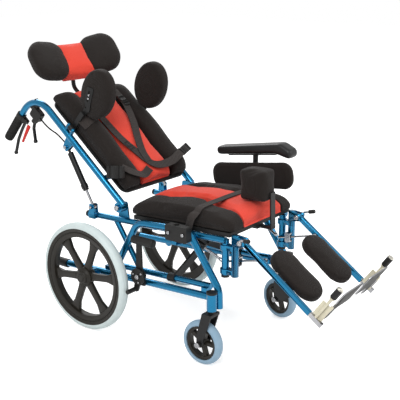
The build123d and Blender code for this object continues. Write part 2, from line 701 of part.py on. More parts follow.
def side_frame(side):
    """Welded side frame: rails, bent main tube, seat tube, struts, caster housing, axle and pivot lugs."""
    def at(x, y, z):
        return (x, side * y, z)

    frame = tube([at(TIP_X, RAIL_Y, rail_z(TIP_X)), at(FRONT_X, RAIL_Y, rail_z(FRONT_X))], TUBE)
    bends = [(x, over_seat_tube(x, rise)) for x, rise in (MAIN_KNEE, MAIN_SHOULDER)]
    main = [(MAIN_FOOT_X, rail_z(MAIN_FOOT_X)), *bends, MAIN_ANKLE, (FRONT_X, housing_z())]
    frame += tube([at(x, RAIL_Y, z) for x, z in main], TUBE, MAIN_BENDS)
    frame += tube([at(x, BRACE_Y, brace_z(x)) for x in BRACE_X], BRACE_TUBE)
    for x in BRACE_X:
        inset = BRACE_TUBE if x == BRACE_X[0] else -BRACE_TUBE
        frame += block((x, x + inset), (side * BRACE_Y, side * RAIL_Y), (rail_z(x), brace_z(x)))
    frame += tube([at(x, SEAT_Y, seat_z(x)) for x in SEAT_X], SEAT_TUBE)
    upright = [(UPRIGHT_TOP_X, seat_z(UPRIGHT_TOP_X)), (UPRIGHT_FOOT_X, brace_z(UPRIGHT_FOOT_X))]
    frame += tube([at(x, UPRIGHT_Y, z) for x, z in upright], STRUT_TUBE)

    # Top rail is welded to the seat tube by two spacers
    for x in (MAIN_KNEE[0] + SPACER_AT[0], MAIN_SHOULDER[0] + SPACER_AT[1]):
        height = [seat_z(x) + rise for rise in SPACER_RISE]
        frame += block((x, x + SPACER_L), (side * SEAT_Y, side * RAIL_Y), height)

    # Axle boss and pin
    hub_in = WHEEL_Y - HUB_W / 2
    frame += bar_y(0, TYRE_R, side * RAIL_Y, side * (hub_in - RUN), AXLE_BOSS_R)
    frame += bar_y(0, TYRE_R, side * RAIL_Y, side * (WHEEL_Y + HUB_W / 2 - HUB_CAP_H - RUN), AXLE_R)

    # Caster housing on its web
    top = housing_z() + HOUSING_H
    frame += bar_z(CASTER_X, side * CASTER_Y, housing_z(), top, HOUSING_R)
    web = (CASTER_X - HOUSING_WEB, CASTER_X + HOUSING_WEB)
    height = (housing_z() + HOUSING_WEB_IN, top - HOUSING_WEB_IN)
    frame += block(web, (side * RAIL_Y, side * CASTER_Y), height)
    frame -= bar_z(CASTER_X, side * CASTER_Y, housing_z() - OVERLAP, top + OVERLAP, STEM_R + FIT)

    # Front post that carries the leg hanger
    post_top = seat_z(POST_REAR_X)
    frame += bar_z(POST_REAR_X, side * HANGER_Y, hanger_z(HANGER_RISE[0]), post_top, TUBE / 2)

    # Recline lug with its pin
    lug_in = CANE_Y - TUBE / 2 - LUG_GAP - PLATE
    low = seat_z(PIVOT_X) - LUG_FOOT[1]
    high = pivot_z() + LUG_HEAD
    lug = plate_xz([(PIVOT_X - LUG_FOOT[0], low), (PIVOT_X + LUG_FOOT[0], low), (PIVOT_X + LUG_HEAD, high),
                    (PIVOT_X - LUG_HEAD, high)], side * lug_in, side * (lug_in + PLATE), LUG_CORNER)
    frame += lug + bar_y(PIVOT_X, pivot_z(), side * lug_in, side * (CANE_Y + TUBE / 2 + RUN), PIVOT_R)
    head = CANE_Y + TUBE / 2 + RUN
    frame += bar_y(PIVOT_X, pivot_z(), side * head, side * (head + PIN_HEAD_H), PIVOT_R + PIN_HEAD)

    # Clevis lugs for the recline strut, joined by a bolt head on each outer face
    foot_z = strut_foot_z()
    seat_axis = seat_z(STRUT_FOOT_X)
    wide = (STRUT_FOOT_X - CLEVIS_FOOT[0], STRUT_FOOT_X + CLEVIS_FOOT[0])
    for edge in (-1, 1):
        inner = side * CANE_Y + edge * (EYE_T / 2 + LUG_GAP)
        outer = inner + edge * PLATE / 2
        foot = [(x, seat_axis - CLEVIS_FOOT[1]) for x in wide]
        head = [(STRUT_FOOT_X + EYE_R, foot_z + EYE_R), (STRUT_FOOT_X - EYE_R, foot_z + EYE_R)]
        frame += plate_xz(foot + head, inner, outer, CLEVIS_CORNER)
        frame += bar_y(STRUT_FOOT_X, foot_z, inner, outer + edge * PIN_HEAD, CLEVIS_BOLT_R)
    height = [seat_axis + rise for rise in CLEVIS_BASE]
    frame += block(wide, (side * SEAT_Y, side * (CANE_Y + EYE_T)), height)
    return frame


def frame_end_caps():
    """Black plastic caps on open tube ends: caster housings, seat tubes, tipping levers and front posts."""
    caps = []
    for side in (RIGHT, LEFT):
        top = housing_z() + HOUSING_H
        housing = bar_z(CASTER_X, side * CASTER_Y, top + SEAT_GAP, top + HOUSING_CAP_H, HOUSING_R + CAP_OVER)
        caps.append(housing)
        rear = SEAT_X[0] - SOFT
        caps.append(bar_x(rear - END_CAP, rear, side * SEAT_Y, seat_z(rear), SEAT_TUBE / 2 + CAP_OVER))
        sleeve = (TIP_X - END_CAP, TIP_X + TIP_SLEEVE)
        tip = bar_x(*sleeve, side * RAIL_Y, rail_z(TIP_X), TUBE / 2 + TIP_WALL)
        beyond = TIP_X + 2 * TIP_SLEEVE
        bore = tube([(x, side * RAIL_Y, rail_z(x)) for x in (TIP_X, beyond)], TUBE + 2 * SLIDE)
        caps.append(tip - bore)
        low = hanger_z(HANGER_RISE[0]) - SEAT_GAP
        caps.append(bar_z(POST_REAR_X, side * HANGER_Y, low - END_CAP, low, TUBE / 2 + CAP_OVER))
    return caps


def cross_brace():
    """Two flat arms crossing at a centre bolt, sleeved on the inner rail below and the seat tube above."""
    pieces = []
    for side in (RIGHT, LEFT):
        x = CROSS_X + side * (CROSS_T / 2 + RUN / 2)
        low = (side * BRACE_Y, brace_z(CROSS_X))
        high = (-side * SEAT_Y, seat_z(CROSS_X))
        run = math.hypot(high[0] - low[0], high[1] - low[1])
        tilt = math.degrees(math.atan2(high[1] - low[1], high[0] - low[0]))
        middle = ((low[0] + high[0]) / 2, (low[1] + high[1]) / 2)
        arm = Pos(x, *middle) * Rot(tilt, 0, 0) * Box(CROSS_T, run, CROSS_W)
        sleeve_low = BRACE_TUBE / 2 + SLIDE
        sleeve_high = SEAT_TUBE / 2 + SLIDE
        reach = CROSS_SLEEVE / 2
        span = (CROSS_X + side * RUN / 2, CROSS_X + side * (RUN / 2 + reach))
        line_low = [(s, low[0], brace_z(s)) for s in span]
        line_high = [(s, high[0], seat_z(s)) for s in span]
        arm += tube(line_low, 2 * (sleeve_low + CROSS_SLEEVE_WALL))
        arm += tube(line_high, 2 * (sleeve_high + CROSS_SLEEVE_WALL))
        long = (CROSS_X - CROSS_SLEEVE, CROSS_X + CROSS_SLEEVE)
        arm -= tube([(s, low[0], brace_z(s)) for s in long], 2 * sleeve_low)
        arm -= tube([(s, high[0], seat_z(s)) for s in long], 2 * sleeve_high)
        board = seat_z(CROSS_X) + SEAT_TUBE / 2
        arm -= seat_place() * block((0, 2 * CROSS_X), (-SEAT_Y * 2, SEAT_Y * 2),
                                    (SEAT_TUBE / 2, SEAT_TUBE / 2 + board))
        rail = -side * (RAIL_Y - TUBE / 2 - SOFT)
        arm -= block(long, (rail, 2 * rail), (seat_z(CROSS_X) - CROSS_W, seat_z(CROSS_X) + CROSS_W))
        arm -= bar_x(*long, 0, middle[1], LOCK_PIN_R + FIT)
        pieces.append(arm)
    centre_z = (brace_z(CROSS_X) + seat_z(CROSS_X)) / 2
    ends = (CROSS_X - CROSS_T - RUN, CROSS_X + CROSS_T + RUN)
    bolt = bar_x(*ends, 0, centre_z, LOCK_PIN_R)
    for end, out in zip(ends, (-CROSS_HEAD_H, CROSS_HEAD_H)):
        bolt += bar_x(end, end + out, 0, centre_z, LOCK_PIN_R + PIN_HEAD)
    pieces.append(bolt)
    return pieces


def seat_board():
    """Seat pan on the seat tubes, with the pommel receiver under its front."""
    low = SEAT_TUBE / 2 + SEAT_GAP
    span = (CUSHION_X[0] + SEAT_BOARD_INSET[0], CUSHION_X[1] - SEAT_BOARD_INSET[1])
    edge = CUSHION_W / 2 - SEAT_BOARD_EDGE
    pan = block(span, (-edge, edge), (low, low + SEAT_BOARD_T))
    half = POMMEL_STEM_W / 2 + SLIDE + RECEIVER_WALL
    deep = POMMEL_STEM_T + 2 * SLIDE + 2 * RECEIVER_WALL
    pan += block(RECEIVER_X, (-half, half), (low - deep, low))
    slot = POMMEL_STEM_W / 2 + SLIDE
    pan -= block((RECEIVER_X[0] + RECEIVER_STOP, RECEIVER_X[1] + OVERLAP), (-slot, slot),
                 (low - deep + RECEIVER_WALL, low - RECEIVER_WALL))
    return seat_place() * pan


def seat_cushion_base():
    return SEAT_TUBE / 2 + SEAT_GAP + SEAT_BOARD_T


def whole_seat_cushion():
    pad = stuffed_pad(CUSHION_X[1] - CUSHION_X[0], CUSHION_W, CUSHION_H, CUSHION_CROWN, CUSHION_DRAW)
    return seat_place() * Pos(CUSHION_X[0], 0, seat_cushion_base()) * pad


def seat_panel_prism():
    """Plan of the red panel: narrow at mid length and wider towards both ends."""
    rear, front = CUSHION_X
    waist = rear + (front - rear) * PANEL_WAIST_AT
    side = [(rear - PANEL_OVER, PANEL_REAR), (waist, PANEL_WAIST), (front + PANEL_OVER, PANEL_FRONT)]
    outline = outline_face(side + [(x, -y) for x, y in reversed(side)])
    return seat_place() * extrude(outline, CUSHION_H * 3)


def harness_front():
    """Where the harness lies in front of the back panel."""
    return CANE_X + TUBE / 2 + BOARD_T + BACK_PANEL_H + BACK_CROWN + SOFT


def lap_belt():
    """Webbing over the seat cushion, from one seat tube to the other."""
    base = seat_cushion_base()
    top = base + CUSHION_H + CUSHION_CROWN + SOFT
    half = CUSHION_W / 2 + SOFT
    foot = base - LAP_TAIL
    inner = [(half, foot), (half, top - LAP_EDGE), (half - LAP_EDGE, top)]
    slant = STRAP_T * math.tan(math.radians(LAP_FOLD / 2))
    out = half + STRAP_T
    outer = [(out, foot), (out, top - LAP_EDGE + slant), (half - LAP_EDGE + slant, top + STRAP_T)]
    loop = [(-y, z) for y, z in inner] + inner[::-1] + outer + [(-y, z) for y, z in outer[::-1]]
    face = outline_face(loop)
    plane = Plane((LAP_X - LAP_W / 2, 0, 0), x_dir=(0, 1, 0), z_dir=(1, 0, 0))
    return seat_place() * extrude(plane * face, LAP_W)


def armrest_socket(side):
    """Black clamp block outside the top rail, bored for an armrest post."""
    inner = RAIL_Y + TUBE / 2 + SEAT_GAP
    low, high = [armrest_z(rise) for rise in SOCKET_RISE]
    body = block(SOCKET_X, (side * inner, side * (inner + SOCKET_W)), (low, high))
    body = fillet(body.edges().filter_by(Axis.Y), SOCKET_CORNER)
    return body - bar_z(POST_X, side * POST_Y, low - OVERLAP, high + OVERLAP, POST_R + SLIDE)


def lock_base(side):
    """Wheel lock hub beside the lower rail, with the lever's pin."""
    inner = RAIL_Y + TUBE / 2 + SEAT_GAP
    outer = inner + LOCK_BASE_T
    base = bar_y(lock_x(), lock_z(), side * inner, side * outer, LOCK_R)
    low = rail_z(lock_x()) - LOCK_FOOT[1]
    wide = (lock_x() - LOCK_FOOT[0], lock_x() + LOCK_FOOT[0])
    base += block(wide, (side * inner, side * outer), (low, lock_z()))
    base += bar_y(lock_x(), lock_z(), side * outer, side * (outer + LOCK_PLATE_T + 2 * RUN), LOCK_PIN_R)
    cap = outer + LOCK_PLATE_T + 2 * RUN
    return base + bar_y(lock_x(), lock_z(), side * cap, side * (cap + PIN_HEAD), LOCK_PIN_R + PIN_HEAD)


def lock_lever(side):
    """Lever plate on the lock's pin, with hand grip above and the bar that presses the tyre below."""
    inner = RAIL_Y + TUBE / 2 + SEAT_GAP + LOCK_BASE_T + RUN
    outer = inner + LOCK_PLATE_T
    shoe = TYRE_R - LOCK_SHOE_DROP
    reach = math.sqrt((TYRE_R + LOCK_GAP + LOCK_SHOE_R) ** 2 - LOCK_SHOE_DROP ** 2)
    top = lock_z() + LOCK_LEVER_H
    low = lock_z() - LOCK_STALK_FOOT
    foot, head = LOCK_STALK
    stalk = [(lock_x() - foot, low), (lock_x() + foot, low), (lock_x() + head, top), (lock_x() - head, top)]
    plate = plate_xz(stalk, side * inner, side * outer, LOCK_CORNER)
    tip, root = LOCK_ARM
    arm = [(reach - tip, shoe - tip), (reach + tip, shoe - tip), (lock_x() + root, lock_z()),
           (lock_x() - root, lock_z())]
    plate += plate_xz(arm, side * inner, side * outer, LOCK_CORNER)
    plate += bar_y(reach, shoe, side * inner, side * (WHEEL_Y + TYRE_W / 4), LOCK_SHOE_R)
    middle = side * (inner + outer) / 2
    ends = (lock_x() - LOCK_GRIP_L * LOCK_GRIP_REAR, lock_x() + LOCK_GRIP_L * LOCK_GRIP_FRONT)
    grip = bar_x(*ends, middle, top, LOCK_GRIP_R)
    plate += fillet(grip.edges(), LOCK_GRIP_R * LOCK_GRIP_ROUND)
    bore = (side * (inner - OVERLAP), side * (outer + OVERLAP))
    return plate - bar_y(lock_x(), lock_z(), *bore, LOCK_PIN_R + FIT)


# Back

def back_frame():
    """Back canes with push handles, crossbars, pivot knuckles, strut lugs and trunk pad hinges."""
    frame = None
    for side in (RIGHT, LEFT):
        y = side * CANE_Y
        line = [(CANE_X, y, CANE_FOOT), (CANE_X, y, HANDLE_Z), (HANDLE_END, y, HANDLE_Z)]
        cane = tube(line, TUBE, HANDLE_BEND)
        cane += bar_y(0, 0, y - TUBE / 2, y + TUBE / 2, KNUCKLE_R)
        cane -= bar_y(0, 0, y - TUBE, y + TUBE, PIVOT_R + FIT)
        x, z = STRUT_TOP
        for edge in (-1, 1):
            face = y + edge * (EYE_T / 2 + SEAT_GAP)
            rear = x - STRUT_LUG
            weld = [(CANE_X, z + rise) for rise in STRUT_LUG_WELD]
            lug = [(rear, z - STRUT_LUG), *weld, (rear, z + STRUT_LUG)]
            cane += plate_xz(lug, face, face + edge * PLATE / 2, CLEVIS_CORNER)
            cane += bar_y(x, z, face, face + edge * (PLATE / 2 + PIN_HEAD), CLEVIS_BOLT_R)
        for edge in (-1, 1):
            gap = LATERAL_KNUCKLE_H / 2 + RUN
            foot = LATERAL_Z + edge * gap
            wide, high = LATERAL_LUG
            cane += block((CANE_X, LATERAL_X), (y - wide, y + wide), (foot, foot + edge * high))
            cane += bar_z(LATERAL_X, y, foot, foot + edge * high, LATERAL_KNUCKLE_R)
        pin = (LATERAL_Z - LATERAL_KNUCKLE_H, LATERAL_Z + LATERAL_KNUCKLE_H)
        cane += bar_z(LATERAL_X, y, *pin, LATERAL_PIN_R)
        frame = cane if frame is None else frame + cane
    bar_at = board_x() - SEAT_GAP - STRUT_TUBE / 2
    for z in CROSSBAR_Z:
        frame += bar_y(bar_at, z, -CANE_Y, CANE_Y, STRUT_TUBE / 2)
    return back_place() * frame


def board_x():
    """Front face of the canes, where the back board is clamped."""
    return CANE_X + TUBE / 2 + SEAT_GAP


def back_board():
    """Back board in front of the canes, with the headrest stem's receiver behind its top."""
    front = board_x()
    board = block((front, front + BOARD_T), (-BOARD_HALF, BOARD_HALF), BOARD_Z)
    board = fillet(board.edges().filter_by(Axis.X), BOARD_CORNER)
    half = STEM_HALF + HEAD_RECEIVER_WALL
    board += block((CANE_X - half, front + OVERLAP), (-half, half), RECEIVER_Z)
    board -= bar_z(CANE_X, 0, RECEIVER_Z[0] - OVERLAP, RECEIVER_Z[1] + OVERLAP, STEM_HALF + SLIDE)
    return back_place() * board


def standing_pad(length, width, height, crown, draw):
    """Stuffed pad stood up along the back: its length up the tube, its crown forward."""
    return Rot(0, -90, 0) * Rot(180, 0, 0) * stuffed_pad(length, width, height, crown, draw)


def back_cushion_center():
    pad = standing_pad(BACK_Z[1] - BACK_Z[0], 2 * BACK_PANEL - 4 * SOFT, BACK_PANEL_H, BACK_CROWN, 2 * SOFT)
    return back_place() * Pos(board_x() + BOARD_T, 0, BACK_Z[0]) * pad


def back_bolster(side):
    pad = standing_pad(BACK_Z[1] - BACK_Z[0], BACK_HALF - BACK_PANEL - 2 * SOFT, BACK_H, BACK_CROWN, 2 * SOFT)
    return back_place() * Pos(board_x() + BOARD_T, side * (BACK_HALF + BACK_PANEL) / 2, BACK_Z[0]) * pad


def handle_fittings():
    """Rubber grips, brake lever clamps and release lever housings on both push handles."""
    pieces = []
    for side in (RIGHT, LEFT):
        y = side * CANE_Y
        sleeve = TUBE / 2 + SLIDE
        grip = bar_x(*GRIP_X, y, HANDLE_Z, GRIP_R)
        grip = fillet(grip.edges(), GRIP_ROUND)
        pieces.append(grip - bar_x(HANDLE_END - SLIDE, 0, y, HANDLE_Z, sleeve))
        front = GRIP_X[1] + RUN
        clamp = bar_x(front, front + CLAMP_L, y, HANDLE_Z, GRIP_R + CLAMP_OVER)
        gap = LEVER_HUB + RUN
        outer = gap + PERCH_CHEEK
        for edge in (-1, 1):
            cheek = (y + edge * gap, y + edge * outer)
            clamp += block((front, front + CLAMP_L), cheek, (BRAKE_PIVOT[1] - PERCH_REACH, HANDLE_Z))
        clamp += bar_y(*BRAKE_PIVOT, y - outer, y + outer, LEVER_PIN_R)
        pieces.append(clamp - bar_x(front - OVERLAP, front + CLAMP_L + OVERLAP, y, HANDLE_Z, sleeve))
        box = block(RELEASE_BOX_X, (y - PERCH_T / 2, y + PERCH_T / 2), RELEASE_BOX_Z)
        box = fillet(box.edges().filter_by(Axis.Y), PERCH_CORNER)
        long = (RELEASE_PIVOT[0] - PERCH_REACH, RELEASE_BOX_X[0] + PERCH_LAP)
        high = (RELEASE_PIVOT[1] - PERCH_REACH, RELEASE_PIVOT[1] + PERCH_REACH)
        for edge in (-1, 1):
            box += block(long, (y + edge * gap, y + edge * outer), high)
        box += bar_y(*RELEASE_PIVOT, y - outer, y + outer, LEVER_PIN_R)
        arch = HANDLE_Z - HANDLE_BEND
        bend = Pos(CANE_X - HANDLE_BEND, y, arch) * Rot(90, 0, 0) * Torus(HANDLE_BEND, sleeve)
        lid = RELEASE_BOX_Z[1]
        wide, high = LINK_HALF
        long = (RELEASE_BOX_X[1] + LINK_X[0], CANE_X + LINK_X[1])
        link = block(long, (y - wide, y + wide), (lid - high, lid + high))
        pieces.append(box + link - bend)
    return [back_place() * piece for piece in pieces]


def blade_face(path, half, bend):
    """Face of a strip of constant width along a path in X and Z, with rounded corners."""
    upper = []
    lower = []
    for before, at, after in zip([path[0]] + path, path, path[1:] + [path[-1]]):
        run = math.dist(before, after)
        across = ((before[1] - after[1]) / run * half, (after[0] - before[0]) / run * half)
        upper.append((at[0] + across[0], at[1] + across[1]))
        lower.append((at[0] - across[0], at[1] - across[1]))
    edge = FilletPolyline(*upper, radius=bend) + FilletPolyline(*lower, radius=bend)
    return make_face(edge + Line(upper[0], lower[0]) + Line(upper[-1], lower[-1]))


def hand_lever(path, side):
    """Flat lever blade with a round end, bored at its pivot."""
    y = side * CANE_Y
    half = LEVER_T / 2
    face = blade_face(list(path), LEVER_R, LEVER_BEND)
    lever = extrude(Plane((0, y + half, 0), x_dir=(1, 0, 0), z_dir=(0, -1, 0)) * face, LEVER_T)
    lever += bar_y(*path[-1], y - half, y + half, LEVER_END_R)
    lever += bar_y(*path[0], y - LEVER_HUB, y + LEVER_HUB, LEVER_PIN_R + LEVER_WALL)
    lever -= bar_y(*path[0], y - 2 * LEVER_HUB, y + 2 * LEVER_HUB, LEVER_PIN_R + FIT)
    return back_place() * lever


def strut_axis():
    """Length of the recline strut between its eyes, and its tilt in degrees from the back's -z."""
    turn = math.radians(RECLINE)
    dx = STRUT_FOOT_X - PIVOT_X
    dz = strut_foot_z() - pivot_z()
    foot_x = dx * math.cos(turn) + dz * math.sin(turn)
    foot_z = -dx * math.sin(turn) + dz * math.cos(turn)
    run_x = foot_x - STRUT_TOP[0]
    run_z = foot_z - STRUT_TOP[1]
    return math.hypot(run_x, run_z), math.degrees(math.atan2(run_x, -run_z))


def strut_place(side):
    """Placement of a strut's own frame: origin at its top eye, -z down the strut."""
    tilt = strut_axis()[1]
    return back_place() * Location((STRUT_TOP[0], side * CANE_Y, STRUT_TOP[1]), (0, -tilt, 0))


def recline_cylinder(side):
    """Locking cylinder fixed at its top eye, bored for the rod."""
    body = bar_z(0, 0, -CYLINDER_L[0], -CYLINDER_L[1], CYLINDER_R)
    top, end = CYLINDER_L
    body += bar_z(0, 0, 0, -top - 2 * OVERLAP, EYE_T / 2 - OVERLAP)
    body += bar_y(0, 0, -EYE_T / 2, EYE_T / 2, EYE_R - OVERLAP)
    collar = [rise - end for rise in CYLINDER_COLLAR]
    body += bar_z(0, 0, *collar, CYLINDER_R + CYLINDER_COLLAR_OVER)
    bore = bar_z(0, 0, -top - CYLINDER_HEAD, -end - OVERLAP, ROD_R + FIT)
    return strut_place(side) * (body - bore)


def recline_rod(side):
    """Chrome rod with the eye between the seat tube's lugs."""
    length = strut_axis()[0]
    rod = bar_z(0, 0, -CYLINDER_L[1] + ROD_IN, -length, ROD_R)
    rod += bar_y(0, -length, -EYE_T / 2, EYE_T / 2, EYE_R)
    return strut_place(side) * rod


def harness():
    """Shoulder straps meeting at a chest plate, and a waist strap round both bolsters with its buckles."""
    pieces = []
    front = harness_front()
    for side in (RIGHT, LEFT):
        rise = HARNESS_TOP_Z - HARNESS_JOIN_Z
        run = math.hypot(rise, HARNESS_TOP_Y)
        lean = math.degrees(math.atan2(HARNESS_TOP_Y, rise))
        middle = (front + STRAP_T / 2, side * HARNESS_TOP_Y / 2, HARNESS_JOIN_Z + rise / 2)
        strap = Pos(*middle) * Rot(-side * lean, 0, 0) * Box(STRAP_T, HARNESS_W, run)
        pieces.append(strap)
    wide = HARNESS_W * HARNESS_PLATE
    low, high = HARNESS_PLATE_Z
    plate = block((front, front + STRAP_T), (-wide, wide),
                  (WAIST_Z + WAIST_W / 2 + low, HARNESS_JOIN_Z + high))
    yoke = pieces[0] + pieces[1] + plate
    proud = board_x() + BOARD_T + BACK_H + BACK_CROWN + SOFT
    half = BACK_HALF + SOFT
    tail = board_x() + BOARD_T + WAIST_TAIL
    deep, wide = WAIST_EDGE
    dip = [offset - BACK_PANEL for offset in WAIST_DIP]
    inner = [(tail, -half), (proud - deep, -half), (proud, wide - half), (proud, dip[0]), (front, dip[1])]
    outer = [(tail, -half - STRAP_T), (proud - deep + WAIST_MITRE, -half - STRAP_T),
             (proud + STRAP_T, wide - half - WAIST_MITRE), (proud + STRAP_T, dip[0] + WAIST_MITRE),
             (front + STRAP_T, dip[1] + WAIST_MITRE)]
    full_inner = inner + [(x, -y) for x, y in reversed(inner)]
    full_outer = outer + [(x, -y) for x, y in reversed(outer)]
    face = outline_face(full_inner + full_outer[::-1])
    waist = extrude(Plane((0, 0, WAIST_Z - WAIST_W / 2)) * face, WAIST_W)
    yoke += waist
    for side in (RIGHT, LEFT):
        edge = half + STRAP_T
        long = (tail + BUCKLE_AT, tail + BUCKLE_AT + BUCKLE_L)
        thick = (side * (edge - OVERLAP), side * (edge + BUCKLE_T))
        yoke += block(long, thick, (WAIST_Z - BUCKLE_H / 2, WAIST_Z + BUCKLE_H / 2))
    return back_place() * yoke


def lateral_pad(side):
    """Oval trunk pad beside the chest."""
    pad = rounded_pad(Ellipse(*LATERAL_AXES), LATERAL_T, LATERAL_ROUND)
    inner = LATERAL_PAD_Y - LATERAL_T
    x, z = LATERAL_CENTER
    stand = Rot(90, 0, 0) * pad
    turn = Rot(0, LATERAL_LEAN - 90, 0)
    y = -inner if side == RIGHT else LATERAL_PAD_Y
    return back_place() * Pos(x, y, z) * turn * stand


def lateral_arm(side):
    """Slotted steel arm from the hinge on the cane to the outer face of the trunk pad."""
    y = side * CANE_Y
    half = LATERAL_KNUCKLE_H / 2
    arm = bar_z(LATERAL_X, y, LATERAL_Z - half, LATERAL_Z + half, LATERAL_KNUCKLE_R)
    face = side * (LATERAL_PAD_Y + SEAT_GAP)
    back = face + side * LATERAL_ARM_T
    x, z = LATERAL_CENTER
    pass_y = (side * LATERAL_CLEAR_Y, side * (LATERAL_CLEAR_Y + LATERAL_ARM_T))
    jog = (LATERAL_JOG_X, LATERAL_JOG_X + LATERAL_ARM_T)
    height = (LATERAL_Z - half, LATERAL_Z + half)
    arm += block((LATERAL_X, jog[1]), pass_y, height)
    arm += block((LATERAL_X - LATERAL_ARM_T, LATERAL_X + LATERAL_ARM_T), (pass_y[0], y), height)
    arm += block(jog, (face, pass_y[1]), height)
    arm += block((jog[0], x - LATERAL_BAR_END), (face, back), height)
    arm += plate_xz([(x + dx, z + dz) for dx, dz in LATERAL_PLATE], face, back, LATERAL_CORNER)
    arm -= plate_xz([(x + dx, z + dz) for dx, dz in LATERAL_SLOT], face, back, LATERAL_SLOT_CORNER)
    arm -= bar_z(LATERAL_X, y, LATERAL_Z - 2 * half, LATERAL_Z + 2 * half, LATERAL_PIN_R + FIT)
    return back_place() * arm


def headrest_stem():
    """Round stem in the back board's receiver, cranked forward to the hinge barrel of the headrest."""
    crank = HEAD_X - CANE_X
    points = [(CANE_X, 0, STEM_BOTTOM), (CANE_X, 0, HEAD_Z - crank), (HEAD_X, 0, HEAD_Z)]
    stem = tube(points, 2 * STEM_HALF, crank * STEM_BEND)
    return back_place() * (stem + head_place() * bar_y(0, 0, -BARREL_HALF, BARREL_HALF, BARREL_R))


def headrest_center():
    """Centre pad of the headrest, with the half cup behind it that turns on the stem's barrel."""
    back, front = HEAD_CENTER
    height = (HEAD_RISE - HEAD_HALF_H, HEAD_RISE + HEAD_HALF_H)
    pad = block((back, front), (-HEAD_HALF_W, HEAD_HALF_W), height)
    pad = fillet(pad.edges().filter_by(Axis.Y), HEAD_ROUND)
    cup = BARREL_R + CUP_WALL
    room = BARREL_R + RUN
    pad += block((CUP_BACK, back + 2 * OVERLAP), (-BARREL_HALF, BARREL_HALF), (CUP_LOW, cup))
    return back_place() * head_place() * (pad - bar_y(0, 0, -2 * BARREL_HALF, 2 * BARREL_HALF, room))


def headrest_wing(side):
    """Side wing of the headrest, flared forward."""
    outline = RectangleRounded(WING_L, WING_H, WING_CORNER)
    wing = rounded_pad(outline, WING_T, WING_ROUND)
    wing = Rot(90, 0, 0) * wing
    turn = Rot(0, 0, side * (90 - WING_FLARE))
    flare = math.radians(WING_FLARE)
    middle = HEAD_CENTER[0] + WING_T * WING_SET + math.sin(flare) * WING_L / 2
    out = HEAD_HALF_W + math.cos(flare) * WING_L / 2
    thick = Pos(0, WING_T / 2, 0)
    wing = Pos(middle, side * out, HEAD_RISE) * turn * thick * wing
    reach = 2 * WING_L
    wing -= block((-reach, reach), (-HEAD_HALF_W - SOFT, HEAD_HALF_W + SOFT), (-reach, reach))
    return back_place() * head_place() * wing


# Armrest

def arm_tilt():
    """Turn of the arm pad and the side cushion about the post's top."""
    top = armrest_z(ARM_PAD_RISE)
    return Pos(POST_X, 0, top) * Rot(0, -ARM_TILT, 0) * Pos(-POST_X, 0, -top)


def armrest_frame():
    """Post in the left socket, with the pad rail on top and the side cushion's plate."""
    y = LEFT * POST_Y
    pad = armrest_z(ARM_PAD_RISE) - SEAT_GAP
    low = armrest_z(SIDE_PAD_RISE[0])
    post = bar_z(POST_X, y, armrest_z(SOCKET_RISE[0]), pad - ARM_RAIL_T / 2, POST_R)
    rail = (ARM_PAD_X[0] + ARM_RAIL_INSET[0], ARM_PAD_X[1] - ARM_RAIL_INSET[1])
    post += arm_tilt() * block(rail, (y - POST_R, y + POST_R), (pad - ARM_RAIL_T, pad))
    plate_y = LEFT * (SIDE_PAD_Y + SIDE_PAD_T + SEAT_GAP)
    plate = (SIDE_PAD_X[0] + SIDE_PLATE_INSET, SIDE_PAD_X[1] - SIDE_PLATE_INSET)
    post += arm_tilt() * block(plate, (plate_y, y - POST_R / 2), [low + rise for rise in SIDE_PLATE_RISE])
    return post


def armrest_pad():
    """Long arm pad with a drooping front."""
    rear, front = ARM_PAD_X
    low = armrest_z(ARM_PAD_RISE)
    top = low + ARM_PAD_H
    outline = [(rear, low), (front - ARM_UNDER, low), (front, low - ARM_DROOP), (front, top - ARM_NOSE[1]),
               (front - ARM_NOSE[0], top), (rear, top - ARM_REAR_DROP)]
    half = ARM_PAD_W / 2
    pad = plate_xz(outline, LEFT * POST_Y - half, LEFT * POST_Y + half, ARM_CORNER)
    rims = pad.edges().group_by(Axis.Y)
    return arm_tilt() * fillet(rims[0] + rims[-1], ARM_ROUND)


def side_cushion():
    """Padded side panel between the armrest and the seat."""
    width = SIDE_PAD_X[1] - SIDE_PAD_X[0]
    low, high = [armrest_z(rise) for rise in SIDE_PAD_RISE]
    pad = rounded_pad(RectangleRounded(width, high - low, SIDE_PAD_CORNER), SIDE_PAD_T, SIDE_PAD_ROUND)
    middle = ((SIDE_PAD_X[0] + SIDE_PAD_X[1]) / 2, SIDE_PAD_Y + SIDE_PAD_T, (low + high) / 2)
    return arm_tilt() * Pos(*middle) * Rot(90, 0, 0) * pad


# Pommel

def pommel_base():
    """Underside of the pommel in the seat's frame."""
    return seat_cushion_base() + CUSHION_H - POMMEL_SINK


def pommel_recess():
    """Room for the pommel in the cushion's front edge, open forward."""
    low = pommel_base() - SOFT
    half = POMMEL_W / 2 + SOFT
    rear = POMMEL_X - POMMEL_L / 2 - SOFT
    return seat_place() * block((rear, CUSHION_X[1] + POMMEL_L), (-half, half), (low, low + 2 * CUSHION_H))


def pommel_block():
    low = pommel_base()
    plan = RectangleRounded(POMMEL_L, POMMEL_W, POMMEL_CORNER)
    pad = Pos(POMMEL_X, 0, low) * rounded_pad(plan, POMMEL_H, POMMEL_ROUND)
    return seat_place() * pad


